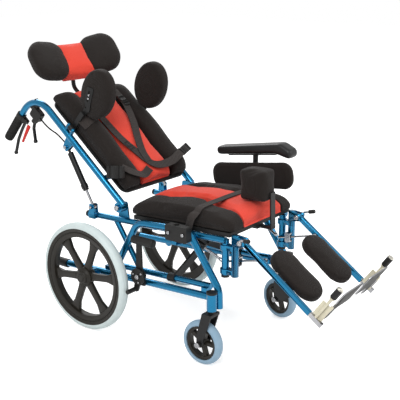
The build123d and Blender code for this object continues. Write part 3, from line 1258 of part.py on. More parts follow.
def pommel_stem():
    """Flat bar from the receiver, round the seat's front edge and up the pommel's front face."""
    slot = SEAT_TUBE / 2 + SEAT_GAP - RECEIVER_WALL - SLIDE
    low = slot - POMMEL_STEM_T
    half = POMMEL_STEM_W / 2
    front = POMMEL_FRONT
    stem = block((RECEIVER_X[0] + RECEIVER_FREE, front), (-half, half), (low, slot))
    top = pommel_base() + POMMEL_H * POMMEL_STEM_UP
    stem += block((front - POMMEL_STEM_T, front), (-half, half), (low, top))
    face = POMMEL_X + POMMEL_L / 2 + SEAT_GAP
    stem += block((face, front), (-half, half), (top - 2 * POMMEL_STEM_T, top))
    return seat_place() * stem


# Leg rests

def hanger(side):
    """Swing-away hanger: front post, two bands round the frame's post, leg clevis and rod latch."""
    y = side * HANGER_Y
    post = hanger_x()
    foot, top = [hanger_z(rise) for rise in HANGER_RISE]
    part = bar_z(post, y, foot, top, TUBE / 2)
    outer = TUBE / 2 + SLIDE + BAND_WALL
    for rise in BAND_RISE:
        span = (hanger_z(rise) - BAND_H / 2, hanger_z(rise) + BAND_H / 2)
        part += bar_z(POST_REAR_X, y, *span, outer)
        web = outer * BAND_WEB
        part += block((POST_REAR_X, post), (y - web, y + web), span)
    part -= bar_z(POST_REAR_X, y, foot - BAND_H, top, TUBE / 2 + SLIDE)
    gap = LEG_W / 2 + RUN
    pin = hanger_z(LEG_RISE)
    for edge in (-1, 1):
        face = y + edge * gap
        rear = post - CHEEK_FOOT[0]
        nose = [(leg_x() + ahead, pin + rise) for ahead, rise in CHEEK_NOSE]
        cheek = [(rear, pin - CHEEK_FOOT[1]), *nose, (rear, top)]
        part += plate_xz(cheek, face, face + edge * CLEVIS_T, CHEEK_CORNER)
        part += bar_y(leg_x(), pin, face, face + edge * (CLEVIS_T + PIN_HEAD_H), LEG_PIN_R + LEG_HEAD)
    part += bar_y(leg_x(), pin, y - gap, y + gap, LEG_PIN_R)

    # Latch for the ratchet rod, open to the front and the back
    room = RATCHET_R + LATCH_SLOT
    wall = room + LATCH_WALL
    latch = hanger_z(LATCH_RISE)
    depth = (post - LATCH_DEPTH / 2, post + LATCH_DEPTH / 2)
    near = side * (HANGER_Y - TUBE / 2 + LATCH_LAP)
    far = side * (RATCHET_Y - RATCHET_R - LATCH_LAP)
    for edge in (-1, 1):
        part += block(depth, (near, far), (latch + edge * room, latch + edge * wall))
    part += block(depth, (far, far - side * LATCH_WALL), (latch - wall, latch + wall))
    return part


def leg_tube(side):
    """Leg tube with its extension bar, foot flange and calf pad bracket."""
    half = LEG_W / 2
    deep = LEG_D / 2
    leg = block((0, LEG_L), (-half, half), (-deep, deep))
    leg += bar_y(0, 0, -half, half, deep)
    leg -= bar_y(0, 0, -LEG_W, LEG_W, LEG_PIN_R + FIT)
    across = (-EXTENSION_W / 2, EXTENSION_W / 2)
    leg += block((LEG_L - OVERLAP, EXTENSION_L), across, (-EXTENSION_D / 2, EXTENSION_D / 2))
    inward = -side
    near = inward * (EXTENSION_W / 2 - OVERLAP)
    flange_y = (near, near + inward * FLANGE_T)
    hinge_y = inward * (HANGER_Y - FOOT_HINGE_Y)
    hinge_x = FOOT_X - FOOT_T / 2
    leg += block((FLANGE_X, hinge_x + FOOT_HINGE_R), flange_y, FLANGE_N)
    for n in ((FLANGE_N[0], FOOT_KNUCKLE[0] - RUN), (FOOT_KNUCKLE[1] + RUN, FLANGE_N[1])):
        leg += bar_z(hinge_x, hinge_y, *n, FOOT_HINGE_R)
        leg += block((hinge_x - FOOT_HINGE_R, hinge_x + FOOT_HINGE_R), (flange_y[0], hinge_y), n)
    leg += bar_z(hinge_x, hinge_y, *FLANGE_N, FOOT_PIN_R)
    knob_y = near - inward * KNOB_BAR_R
    leg += bar_z(KNOB_X, knob_y, 0, KNOB_N[1] - KNOB_END, KNOB_BAR_R)
    leg += bar_z(KNOB_X, knob_y, KNOB_N[0] - KNOB_COLLAR[0], KNOB_N[0], KNOB_BAR_R + KNOB_COLLAR[1])
    leg += bar_z(KNOB_X, knob_y, *KNOB_N, KNOB_R)
    x0, x1 = CALF_BRACKET_X
    low = -deep - CALF_BRACKET_D
    shelf = (x0 + CALF_BRACKET_TAPER[0], x1 - CALF_BRACKET_TAPER[1])
    bracket = [(x0, OVERLAP - deep), (x1, OVERLAP - deep), (shelf[1], low), (shelf[0], low)]
    inside = inward * (half - CALF_BRACKET_T)
    leg += plate_xz(bracket, inside, inward * half, CALF_BRACKET_CORNER)
    pad_back = CALF_N[0] - SEAT_GAP
    reach = (inside, inward * (HANGER_Y - CALF_Y[0] - CALF_SHELF_IN))
    leg += block(shelf, reach, (pad_back - CALF_SHELF_T, pad_back))
    leg += bar_y(RATCHET_AT, 0, inward * half, inward * (HANGER_Y - RATCHET_Y + RATCHET_R), LEVER_PIN_R)
    return leg_place(side) * leg


def calf_pad(side):
    """Stadium pad behind the calf."""
    length = CALF_X[1] - CALF_X[0]
    width = CALF_Y[1] - CALF_Y[0]
    thick = CALF_N[1] - CALF_N[0]
    pad = rounded_pad(RectangleRounded(length, width, width / 2 - CALF_FLAT), thick, CALF_ROUND)
    inward = -side
    middle = HANGER_Y - (CALF_Y[0] + CALF_Y[1]) / 2
    return leg_place(side) * Pos((CALF_X[0] + CALF_X[1]) / 2, inward * middle, CALF_N[0]) * pad


def footplate(side):
    """Flip-up footplate on a hinge along its outer edge, cut away at the heel to pass the calf pad."""
    inward = -side
    outer = inward * (HANGER_Y - FOOT_Y[1])
    inner = inward * (HANGER_Y - FOOT_Y[0])
    notch = outer + inward * FOOT_HEEL_Y
    heel, toe = FOOT_N
    corners = [(toe, outer), (heel, outer), (heel, notch), (FOOT_HEEL_N, notch + inward * FOOT_ROUND / 2),
               (FOOT_HEEL_N, inner), (toe, inner)]
    outline = fillet(outline_face([(-n, y) for n, y in corners]).vertices(), FOOT_ROUND)
    plate = Pos(FOOT_X - FOOT_T, 0, 0) * Rot(0, 90, 0) * extrude(outline, FOOT_T)
    hinge_x = FOOT_X - FOOT_T / 2
    hinge_y = inward * (HANGER_Y - FOOT_HINGE_Y)
    plate += bar_z(hinge_x, hinge_y, *FOOT_KNUCKLE, FOOT_HINGE_R)
    plate += block((FOOT_X - FOOT_T, FOOT_X), (hinge_y, outer + inward), FOOT_KNUCKLE)
    return leg_place(side) * (plate - bar_z(hinge_x, hinge_y, *FLANGE_N, FOOT_PIN_R + FIT))


def ratchet_rod(side):
    """Chrome rod from its pivot on the leg, through the hanger's latch."""
    inward = -side
    offset = inward * (HANGER_Y - RATCHET_Y)
    tilt = ratchet_tilt()
    rod = bar_x(0, -RATCHET_L, 0, 0, RATCHET_R)
    rod += bar_y(0, 0, -RATCHET_R, RATCHET_R, LEVER_PIN_R + LEVER_WALL)
    rod -= bar_y(0, 0, -2 * RATCHET_R, 2 * RATCHET_R, LEVER_PIN_R + FIT)
    return leg_place(side) * Pos(RATCHET_AT, offset, 0) * Rot(0, tilt, 0) * rod


def ratchet_tilt():
    """Turn of the ratchet rod from the leg, so that it passes through the latch."""
    drop = math.radians(LEG_DROP)
    at_x = leg_x() + RATCHET_AT * math.cos(drop)
    at_z = hanger_z(LEG_RISE) - RATCHET_AT * math.sin(drop)
    lean = math.degrees(math.atan2(at_z - hanger_z(LATCH_RISE), at_x - hanger_x()))
    return -lean - LEG_DROP


# Cables

def route_bends(points):
    """Bend radius at each inner corner of a cable's route, from its shorter run and its turn."""
    radii = []
    for before, corner, after in zip(points, points[1:], points[2:]):
        arrive = Vector(*corner) - Vector(*before)
        leave = Vector(*after) - Vector(*corner)
        half_turn = math.radians(arrive.get_angle(leave)) / 2
        radii.append(CABLE_BEND * min(arrive.length, leave.length) / math.tan(half_turn))
    return radii


def back_cables():
    """Release cables from the lever housings down to the strut heads."""
    cables = []
    start = (sum(RELEASE_BOX_X) / 2, RELEASE_BOX_Z[0] - SEAT_GAP)
    end = (STRUT_TOP[0] + CABLE_R, STRUT_TOP[1] + EYE_R)
    shares = [(0.0, 0.0), *CABLE_ROUTE, (1.0, 1.0)]
    span = (end[0] - start[0], end[1] - start[1])
    line = [(start[0] + across * span[0], start[1] + down * span[1]) for across, down in shares]
    for side in (RIGHT, LEFT):
        points = [(x, side * CANE_Y, z) for x, z in line]
        bends = route_bends(points)
        cables.append(tube(points, 2 * CABLE_R, bends))
    print("release cable bends", [round(bend, 1) for bend in bends])
    return [back_place() * cable for cable in cables]


def save(name, part):
    """Writes one node; a list of solids becomes one node of separate solids."""
    whole = part
    if isinstance(part, list):
        whole = Compound(children=[solid for piece in part for solid in piece.solids()])
    export_step(Pos(AXLE_X, 0, 0) * whole, os.path.join("parts", name + ".step"))


def main():
    os.makedirs("parts", exist_ok=True)
    cushion = whole_seat_cushion() - pommel_recess()
    prism = seat_panel_prism()
    save("seat_board", seat_board())
    save("seat_cushion_center", cushion & prism)
    save("seat_cushion_sides", (cushion - prism).solids())
    save("frame_end_caps", frame_end_caps())
    save("cross_brace", cross_brace())
    save("lap_belt", lap_belt())
    save("armrest_sockets", [armrest_socket(side) for side in (RIGHT, LEFT)])
    save("wheel_lock_bases", [lock_base(side) for side in (RIGHT, LEFT)])
    save("back_frame", back_frame())
    save("back_board", back_board())
    save("back_cushion_center", back_cushion_center())
    save("back_bolsters", [back_bolster(side) for side in (RIGHT, LEFT)])
    save("handle_fittings", handle_fittings())
    save("recline_cylinders", [recline_cylinder(side) for side in (RIGHT, LEFT)])
    save("harness", harness())
    save("back_cables", back_cables())
    save("headrest_stem", headrest_stem())
    save("headrest_center", headrest_center())
    save("headrest_wings", [headrest_wing(side) for side in (RIGHT, LEFT)])
    save("armrest_frame", armrest_frame())
    save("armrest_pad", armrest_pad())
    save("side_cushion", side_cushion())
    save("pommel_block", pommel_block())
    save("pommel_stem", pommel_stem())
    for side, name in ((RIGHT, "right"), (LEFT, "left")):
        save("side_frame_" + name, side_frame(side))
        save("rear_wheel_" + name, rear_wheel(side))
        save("rear_tyre_" + name, rear_tyre(side))
        save("caster_fork_" + name, caster_fork(side))
        save("caster_rim_" + name, caster_rim(side))
        save("caster_tyre_" + name, caster_tyre(side))
        save("wheel_lock_lever_" + name, lock_lever(side))
        save("recline_rod_" + name, recline_rod(side))
        save("brake_lever_" + name, hand_lever(BRAKE_PATH, side))
        save("release_lever_" + name, hand_lever(RELEASE_PATH, side))
        save("lateral_arm_" + name, lateral_arm(side))
        save("lateral_pad_" + name, lateral_pad(side))
        save("leg_hanger_" + name, hanger(side))
        save("leg_tube_" + name, leg_tube(side))
        save("calf_pad_" + name, calf_pad(side))
        save("footplate_" + name, footplate(side))
        save("ratchet_rod_" + name, ratchet_rod(side))


main()
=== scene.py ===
# %% [markdown]
# A reclining positioning wheelchair, dressed for rendering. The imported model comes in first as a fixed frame: every
# piece already stands at its real size and place, in metres, with +X forward and +Z up. Here the hard pieces get
# their finishes, and everything soft is sewn and stuffed again as real upholstery.

# %% Load the frame
import bpy
import json
import math
from mathutils import Matrix, Vector


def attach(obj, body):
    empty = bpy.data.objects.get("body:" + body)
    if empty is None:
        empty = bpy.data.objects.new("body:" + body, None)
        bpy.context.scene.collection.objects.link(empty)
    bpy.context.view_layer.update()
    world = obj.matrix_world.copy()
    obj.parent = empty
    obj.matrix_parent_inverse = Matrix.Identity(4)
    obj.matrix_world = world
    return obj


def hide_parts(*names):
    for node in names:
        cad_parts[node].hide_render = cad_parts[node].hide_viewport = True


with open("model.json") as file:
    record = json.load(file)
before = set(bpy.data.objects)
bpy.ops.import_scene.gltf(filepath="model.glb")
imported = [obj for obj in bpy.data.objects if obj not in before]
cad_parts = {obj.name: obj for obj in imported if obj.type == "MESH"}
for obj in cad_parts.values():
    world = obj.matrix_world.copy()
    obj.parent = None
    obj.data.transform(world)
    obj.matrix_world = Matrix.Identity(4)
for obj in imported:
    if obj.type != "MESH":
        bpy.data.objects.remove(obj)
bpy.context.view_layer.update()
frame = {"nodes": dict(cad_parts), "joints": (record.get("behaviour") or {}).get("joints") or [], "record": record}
nodes = frame["nodes"]
joints = {joint["name"]: joint for joint in frame["joints"]}
MM = 0.001
SIDES = (("right", -1), ("left", 1))

# %% [markdown]
# The camera stands where the photographer stood: to the chair's front right, a little above the seat. A long lens
# keeps the lines of the frame nearly parallel. Its place was fitted to the wheels and tubes in the picture.

# %% Camera
CAMERA_AT = Vector((1.7790, -2.2529, 1.2961))
CAMERA_TO = Vector((0.0616, 0.0, 0.4799))
CAMERA_LENS = 74.9
SENSOR = 36.0


def added(name, data):
    """A new object in the scene."""
    piece = bpy.data.objects.new(name, data)
    bpy.context.scene.collection.objects.link(piece)
    return piece


camera_data = bpy.data.cameras.new("photo_camera")
camera_data.lens = CAMERA_LENS
camera_data.sensor_width = SENSOR
camera_data.sensor_fit = "HORIZONTAL"
camera_data.clip_end = 30.0
camera = added("photo_camera", camera_data)
camera.location = CAMERA_AT
camera.rotation_euler = (CAMERA_TO - CAMERA_AT).to_track_quat("-Z", "Y").to_euler()
bpy.context.scene.camera = camera
print("camera distance", round((CAMERA_TO - CAMERA_AT).length, 3))

# %% [markdown]
# Shader maths reads best as arithmetic. Math nodes could be wired by hand, but Shade wraps one socket and turns + and
# * into Math nodes, so that a formula stays one line.

# %% Shader arithmetic
class Shade:
    """A number that varies over a surface."""

    def __init__(self, tree, socket):
        self.tree = tree
        self.socket = socket

    def math(self, operation, first, second):
        node = self.tree.nodes.new("ShaderNodeMath")
        node.operation = operation
        for slot, value in zip(node.inputs, (first, second)):
            if isinstance(value, Shade):
                self.tree.links.new(value.socket, slot)
            else:
                slot.default_value = value
        return Shade(self.tree, node.outputs[0])

    def __add__(self, other):
        return self.math("ADD", self, other)

    __radd__ = __add__

    def __mul__(self, other):
        return self.math("MULTIPLY", self, other)

    def sine(self):
        return self.math("SINE", self, 0.0)

    def top(self, other):
        return self.math("MAXIMUM", self, other)


print("one value is a", Shade.__name__)

# %% [markdown]
# A finish is one Principled surface. What is steady is set on its sockets, and what varies is fed in from noise in
# the piece's own coordinates, so that it rides along when the piece moves.

# %% Finishes
class Finish:
    def __init__(self, name, **steady):
        self.material = bpy.data.materials.new(name)
        self.material.use_nodes = True
        self.tree = self.material.node_tree
        self.surface = self.tree.nodes["Principled BSDF"]
        for socket, value in steady.items():
            self.surface.inputs[socket.replace("_", " ")].default_value = value

    def node(self, kind, settings, sockets, out=0):
        made = self.tree.nodes.new(kind)
        for key, value in settings.items():
            setattr(made, key, value)
        for key, value in sockets.items():
            if isinstance(value, Shade):
                self.tree.links.new(value.socket, made.inputs[key])
            else:
                made.inputs[key].default_value = value
        return Shade(self.tree, made.outputs[out])

    def place(self):
        return self.node("ShaderNodeTexCoord", {}, {}, "Object")

    def axis(self, letter):
        return self.node("ShaderNodeSeparateXYZ", {}, {"Vector": self.place()}, letter)

    def noise(self, scale, detail=2.0):
        return self.node("ShaderNodeTexNoise", {}, {"Vector": self.place(), "Scale": scale, "Detail": detail})

    def blend(self, share, first, second):
        return self.node("ShaderNodeMix", {"data_type": "RGBA"}, {0: share, 6: first, 7: second}, 2)

    def bump(self, height, depth, edge=0.0):
        sockets = {"Height": height, "Distance": depth, "Strength": 1.0}
        if edge:
            sockets["Normal"] = self.node("ShaderNodeBevel", {"samples": 4}, {"Radius": edge})
        return self.node("ShaderNodeBump", {}, sockets)

    def feed(self, socket, shade):
        self.tree.links.new(shade.socket, self.surface.inputs[socket])


def rgb(red, green, blue):
    return (red, green, blue, 1.0)


print("one material is a", Finish.__name__)

# %% [markdown]
# The frame tubes are steel under metallic blue lacquer. Fine flakes scatter the gloss, and a clear coat adds the
# sharp pale streaks that run along each tube. A Bevel node rounds the light on every sharp edge, as thick paint does.

# %% Paints and metals
EDGE = 0.0012  # radius that a Bevel node gives to sharp edges in the shading
FLAKES = 2600.0  # noise scales, in waves per metre
DRIFT = 9.0
PEEL = 380.0  # shallow waves that sprayed lacquer dries with
PEEL_DEPTH = 0.00004
SMUDGE_AND_REFLECTION_SCALE = 26.0
BRUSHING = 900.0
BRUSH_DEPTH = 0.00003


def metallic_paint(name, dark, light, metal, rough, coat):
    finish = Finish(name, Coat_Weight=coat, Coat_Roughness=0.06, Metallic=metal)
    flakes = finish.noise(FLAKES, 1.0)
    drift = finish.noise(DRIFT)
    finish.feed("Base Color", finish.blend(flakes * 0.7 + drift * 0.3, dark, light))
    finish.feed("Roughness", rough + flakes * 0.12)
    finish.feed("Normal", finish.bump(finish.noise(PEEL), PEEL_DEPTH, EDGE))
    return finish.material


def bare_metal(name, colour, smudge_and_reflection_colour, rough, brushed):
    finish = Finish(name, Metallic=1.0)
    # Noise blends each metal between its colour and a darker one. This is partly smudges and partly painted
    # reflection: dark and light bands that stand in for what the bright metal would mirror.
    smudge_and_reflection_mask = finish.noise(SMUDGE_AND_REFLECTION_SCALE, 4.0)
    grain = finish.noise(BRUSHING, 1.0)
    finish.feed("Base Color", finish.blend(smudge_and_reflection_mask, colour, smudge_and_reflection_colour))
    finish.feed("Roughness", rough + smudge_and_reflection_mask * 0.1 + grain * brushed)
    finish.feed("Normal", finish.bump(grain, BRUSH_DEPTH, EDGE))
    return finish.material


BLUE_PAINT = metallic_paint("blue_lacquer", rgb(0.001, 0.090, 0.205), rgb(0.003, 0.185, 0.345), 0.85, 0.16, 0.3)
# For each metal, the second colour is the dark end of its smudges and of its painted reflection bands.
CHROME = bare_metal("polished_chrome", rgb(0.46, 0.46, 0.47), rgb(0.20, 0.20, 0.21), 0.10, 0.06)
ALLOY = bare_metal("cast_alloy", rgb(0.54, 0.52, 0.46), rgb(0.36, 0.35, 0.31), 0.22, 0.14)
STEEL = bare_metal("brushed_steel", rgb(0.30, 0.30, 0.31), rgb(0.17, 0.17, 0.18), 0.28, 0.18)
print("paints and metals", [finish.name for finish in (BLUE_PAINT, CHROME, ALLOY, STEEL)])

# %% [markdown]
# Moulded plastic has a fine grain and is a little duller where hands and shoes rub it. Rubber is the same idea with
# no gloss. The pale tyres have grown greyer where they meet the floor.

# %% Plastics and rubbers
RUBS = 34.0
GRAIN = 1500.0


def moulded(name, colour, rubbed, rough, grain_depth, gloss=0.22):
    finish = Finish(name, Specular_IOR_Level=gloss)
    rub = finish.noise(RUBS, 4.0)
    grain = finish.noise(GRAIN, 1.0)
    finish.feed("Base Color", finish.blend(rub, colour, rubbed))
    finish.feed("Roughness", rough + rub * 0.14)
    finish.feed("Normal", finish.bump(grain, grain_depth, EDGE))
    return finish.material


BLACK_PAINT = moulded("black_lacquer", rgb(0.005, 0.005, 0.005), rgb(0.012, 0.012, 0.012), 0.30, 0.00002)
BLACK_PLASTIC = moulded("moulded_black", rgb(0.006, 0.006, 0.006), rgb(0.015, 0.014, 0.013), 0.42, 0.00008)
GLOSS_BLACK = moulded("polyurethane_black", rgb(0.006, 0.006, 0.006), rgb(0.013, 0.013, 0.013), 0.30, 0.00003, 0.25)
WHEEL_BLACK = moulded("wheel_nylon", rgb(0.008, 0.007, 0.005), rgb(0.019, 0.016, 0.012), 0.34, 0.00006)
RUBBER = moulded("grip_rubber", rgb(0.006, 0.006, 0.006), rgb(0.016, 0.015, 0.014), 0.62, 0.00010)
PALE_TYRE = moulded("pale_tyre", rgb(0.640, 0.720, 0.715), rgb(0.500, 0.570, 0.570), 0.50, 0.00008)
CREAM = moulded("cream_plate", rgb(0.70, 0.66, 0.51), rgb(0.56, 0.52, 0.39), 0.40, 0.00004)
CASTER_TYRE = moulded("caster_tyre", rgb(0.205, 0.330, 0.440), rgb(0.300, 0.420, 0.520), 0.46, 0.00006)
print("materials so far", len(bpy.data.materials))

# %% [markdown]
# Cover cloth is a plain weave. Two sine waves at right angles raise the yarns, and noise makes some yarns darker,
# as in dyed polyester. Webbing is the same weave with a coarser yarn.

# %% Cloths
SLUBS = 220.0  # thick and thin places in the yarn
FADE = 7.0
CLOTH_ROUGH = 0.80


def woven(name, colour, shade, pitch, depth, sheen):
    finish = Finish(name, Sheen_Weight=sheen, Sheen_Roughness=0.5, Specular_IOR_Level=0.1)
    turn = 2 * math.pi / pitch
    warp = (finish.axis("Y") * turn).sine()
    weft = ((finish.axis("X") + finish.axis("Z")) * turn).sine()
    yarn = warp * weft
    slub = finish.noise(SLUBS, 3.0)
    fade = finish.noise(FADE)
    finish.feed("Base Color", finish.blend(slub * 0.6 + fade * 0.3 + yarn * 0.08, colour, shade))
    finish.feed("Roughness", CLOTH_ROUGH + yarn * 0.08)
    finish.feed("Normal", finish.bump(yarn + slub * 0.6, depth))
    return finish.material


RED_CLOTH = woven("red_cover", rgb(0.72, 0.070, 0.042), rgb(0.58, 0.046, 0.030), 0.0022, 0.00016, 0.12)
BLACK_CLOTH = woven("black_cover", rgb(0.020, 0.0160, 0.0142), rgb(0.010, 0.0080, 0.0072), 0.0022, 0.00018, 0.06)
WEBBING = woven("grey_webbing", rgb(0.048, 0.040, 0.037), rgb(0.022, 0.019, 0.018), 0.0030, 0.00030, 0.06)
print("cloths", [finish.name for finish in (RED_CLOTH, BLACK_CLOTH, WEBBING)])

# %% [markdown]
# Hard nodes keep their shape and only get a finish. The record names a slot for each node, and a table gives each
# slot's finish, so that none is forgotten. The two stems are black in the picture and are set by name.

# %% Finish the hard nodes
FINISH_OF_SLOT = {
    "blue_paint": BLUE_PAINT, "black_paint": BLACK_PAINT, "black_plastic": BLACK_PLASTIC, "gloss_black": GLOSS_BLACK,
    "rim_black": WHEEL_BLACK, "pale_tyre": PALE_TYRE, "blue_grey_tyre": CASTER_TYRE, "red_fabric": RED_CLOTH,
    "black_fabric": BLACK_CLOTH, "webbing": WEBBING, "cable_black": RUBBER, "bright_metal": CHROME, "steel": STEEL,
    "alloy": ALLOY,
}
slot_of_node = {entry["node"]: entry["material_slot"] for entry in frame["record"]["subparts"]}
for name, node in nodes.items():
    node.data.materials.clear()
    node.data.materials.append(FINISH_OF_SLOT[slot_of_node[name]])
for name in ("headrest_stem", "pommel_stem"):
    nodes[name].data.materials[0] = BLACK_PAINT
print("finished", len(nodes), "nodes")

# %% [markdown]
# A few helpers stand for the moves made again and again by hand: clear the selection, select edges or faces by where
# they lie, add a modifier and apply it, and hand a finished piece over to the body that carries it.

# %% Workbench helpers
def object_mode():
    bpy.ops.object.mode_set(mode="OBJECT")


def clear_selection():
    if bpy.context.object and bpy.context.object.mode != "OBJECT":
        object_mode()
    bpy.ops.object.select_all(action="DESELECT")


def pick(piece):
    clear_selection()
    piece.select_set(True)
    bpy.context.view_layer.objects.active = piece


def edit(piece, action="SELECT"):
    """Edit mode with everything selected, or nothing."""
    pick(piece)
    bpy.ops.object.mode_set(mode="EDIT")
    bpy.ops.mesh.select_all(action=action)


def choose(piece, kind, chosen):
    """Edit mode with the edges or faces selected that pass a test."""
    edit(piece, "DESELECT")
    bpy.ops.mesh.select_mode(type=kind)
    object_mode()
    for part in piece.data.edges if kind == "EDGE" else piece.data.polygons:
        part.select = chosen(part)
    bpy.ops.object.mode_set(mode="EDIT")


def choose_edges(piece, chosen):
    """Edges by a test of their two ends."""
    choose(piece, "EDGE", lambda edge: chosen(*[piece.data.vertices[index].co for index in edge.vertices]))


def close_up():
    """Merge doubled points, turn all faces outward and leave Edit mode."""
    bpy.ops.mesh.select_all(action="SELECT")
    bpy.ops.mesh.remove_doubles(threshold=1e-5)
    bpy.ops.mesh.normals_make_consistent(inside=False)
    object_mode()


def block(*size):
    """A new box about the origin."""
    clear_selection()
    bpy.ops.mesh.primitive_cube_add(size=1.0)
    bpy.context.object.data.transform(Matrix.Diagonal((*size, 1.0)))
    return bpy.context.object


def modify(piece, kind, **settings):
    pick(piece)
    modifier = piece.modifiers.new(kind.lower(), kind)
    for key, value in settings.items():
        setattr(modifier, key, value)
    bpy.ops.object.modifier_apply(modifier=modifier.name)


def bevel(piece, width, segments, angle):
    """Rounds the edges sharper than so many degrees."""
    modify(piece, "BEVEL", width=width, segments=segments, limit_method="ANGLE", angle_limit=math.radians(angle))


def hand_over(piece, body, slot, angle=30.0, material=None, node=None):
    pick(piece)
    bpy.ops.object.transform_apply(location=True, rotation=True, scale=True)
    bpy.ops.object.shade_smooth_by_angle(angle=math.radians(angle))
    piece.data.materials.clear()
    piece.data.materials.append(material or FINISH_OF_SLOT[slot])
    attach(piece, body)
    if node:
        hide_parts(node)


print("slots to hand over", len(FINISH_OF_SLOT))

# %% [markdown]
# Most sizes below are in millimetres: X from the rear axle, Z from the floor. The back and the legs stand at an angle,
# so each has a frame of its own. A point on the back is given as forward of its pivot, across, and up the tubes.

# %% Places on the chair
RECLINE = math.radians(50.0)
LEG_DROP = math.radians(35.5)


def joint_at(name):
    return Vector(joints[name]["pos_m"])


AXLE = joint_at("rear_wheel_spin_right")
PIVOT = joint_at("recline")
FORWARD = Vector((math.cos(RECLINE), 0, math.sin(RECLINE)))
UPWARD = Vector((-math.sin(RECLINE), 0, math.cos(RECLINE)))
REARWARD = -FORWARD
ACROSS = Vector((0, 1, 0))
DOWN = Vector((0, 0, -1))
CANE_Y = 195  # the back tubes' distance from the middle
SEAT_H = 409.5  # seat tube above the floor at the axle
SEAT_SLOPE = math.radians(2.0)


def on_chair(x, y, z):
    return Vector((AXLE.x + x * MM, y * MM, z * MM))


def seat_z(x):
    """Height of the seat tube."""
    return SEAT_H + x * math.tan(SEAT_SLOPE)


def on_back(x, y, z):
    return PIVOT + FORWARD * (x * MM) + ACROSS * (y * MM) + UPWARD * (z * MM)


def along_leg(hand, point):
    """Millimetres down the leg, across it and out of its front."""
    offset = (point - joint_at("leg_raise_" + hand)) / MM
    down = offset.x * math.cos(LEG_DROP) - offset.z * math.sin(LEG_DROP)
    front = offset.x * math.sin(LEG_DROP) + offset.z * math.cos(LEG_DROP)
    return down, offset.y, front


print("back pivot", [round(value, 3) for value in PIVOT])

# %% [markdown]
# Many pieces start from a solid of the frame, which has the right size and place. Its doubled points are merged
# first. Where one node holds a left and a right pad, only one side is kept.

# %% Copies of a solid
def merged_copy(name, node):
    piece = added(name, nodes[node].data.copy())
    edit(piece)
    bpy.ops.mesh.remove_doubles(threshold=1e-5)
    bpy.ops.mesh.select_all(action="DESELECT")
    object_mode()
    return piece


def keep_side(piece, side):
    for vertex in piece.data.vertices:
        vertex.select = vertex.co.y * side < 0
    bpy.ops.object.mode_set(mode="EDIT")
    bpy.ops.mesh.delete(type="VERT")
    object_mode()


def slice_off(piece, at, away):
    """Cuts by a plane and throws away the side that away points to."""
    edit(piece)
    bpy.ops.mesh.bisect(plane_co=at, plane_no=away, clear_outer=True, use_fill=True)
    object_mode()


print("nodes to copy from", len(nodes))

# %% [markdown]
# A pad is foam in a sewn cover. A copy of its solid is remeshed into small even faces, drawn in a little and blown
# up as cloth, which rounds it and pulls the sides in between the corners. Sculpting would do too, but this gives all
# pads the same tension. Faces on a board stay flat.

# %% Stuffed pads
VOXEL = 5 * MM
SIM_FRAMES = 18
PRESSURE = 4.0
FACING = 0.7  # how squarely a held face looks towards its board


def inflate(piece, most, flat):
    """Blows the pad up as cloth; no point moves further than most, and faces towards flat stay."""
    mesh = piece.data
    start = [vertex.co.copy() for vertex in mesh.vertices]
    normals = [vertex.normal.copy() for vertex in mesh.vertices]
    cloth = piece.modifiers.new("cloth", "CLOTH")
    cloth.settings.use_pressure = True
    cloth.settings.uniform_pressure_force = PRESSURE
    cloth.settings.effector_weights.gravity = 0.0
    cloth.point_cache.frame_end = SIM_FRAMES
    for step in range(1, SIM_FRAMES + 1):
        bpy.context.scene.frame_set(step)
    shaped = piece.evaluated_get(bpy.context.evaluated_depsgraph_get())
    ends = [vertex.co.copy() for vertex in shaped.data.vertices]
    piece.modifiers.remove(cloth)
    for vertex, begin, end, normal in zip(mesh.vertices, start, ends, normals):
        move = end - begin
        if move.length > most:
            move = move * (most / move.length)
        held = flat is not None and normal.dot(flat) > FACING
        vertex.co = begin if held else begin + move
    bpy.context.scene.frame_set(1)


def stuffed(name, node, body, side=0, slot="black_fabric", draw_in=3 * MM, most=9 * MM, flat=None, cut=None, soft=6,
            reshape=None):
    """Pad from a node's solid; soft counts the rounds of smoothing."""
    piece = merged_copy(name, node)
    if side:
        keep_side(piece, side)
    if cut:
        slice_off(piece, *cut)
    pick(piece)
    piece.data.remesh_voxel_size = VOXEL
    bpy.ops.object.voxel_remesh()
    modify(piece, "SMOOTH", factor=0.5, iterations=soft)
    modify(piece, "DISPLACE", strength=-draw_in, mid_level=0.0)
    inflate(piece, most, flat)
    modify(piece, "SMOOTH", factor=0.4, iterations=2)
    if reshape:
        for vertex in piece.data.vertices:
            vertex.co = reshape(vertex.co)
    modify(piece, "SUBSURF", levels=1, render_levels=1)
    hand_over(piece, body, slot, 180.0, node=node)
    print(name, "faces", len(piece.data.polygons))
    return piece


print("pads are blown up for", SIM_FRAMES, "frames")

# %% [markdown]
# The headrest is turned to one side, so it has directions of its own. In the picture its pads are taller and closer
# together than their solids, and the near end hangs lower. Every point is moved, as proportional editing would.

# %% Directions of the headrest
HEAD_YAW = math.radians(20.0)
HEAD_ROLL = 0.09  # drop towards the near end, as a slope
HEAD_AT = joint_at("headrest_tilt")
HEAD_LEVEL = Vector((math.cos(HEAD_YAW), -math.sin(HEAD_YAW), 0))
HEAD_FRONT = HEAD_LEVEL * math.cos(RECLINE) - DOWN * math.sin(RECLINE)
HEAD_PAD_BACK = HEAD_AT + HEAD_FRONT * (20.5 * MM)
HEAD_SIDE = Vector((math.sin(HEAD_YAW), math.cos(HEAD_YAW), 0))
HEAD_UP = HEAD_FRONT.cross(HEAD_SIDE)


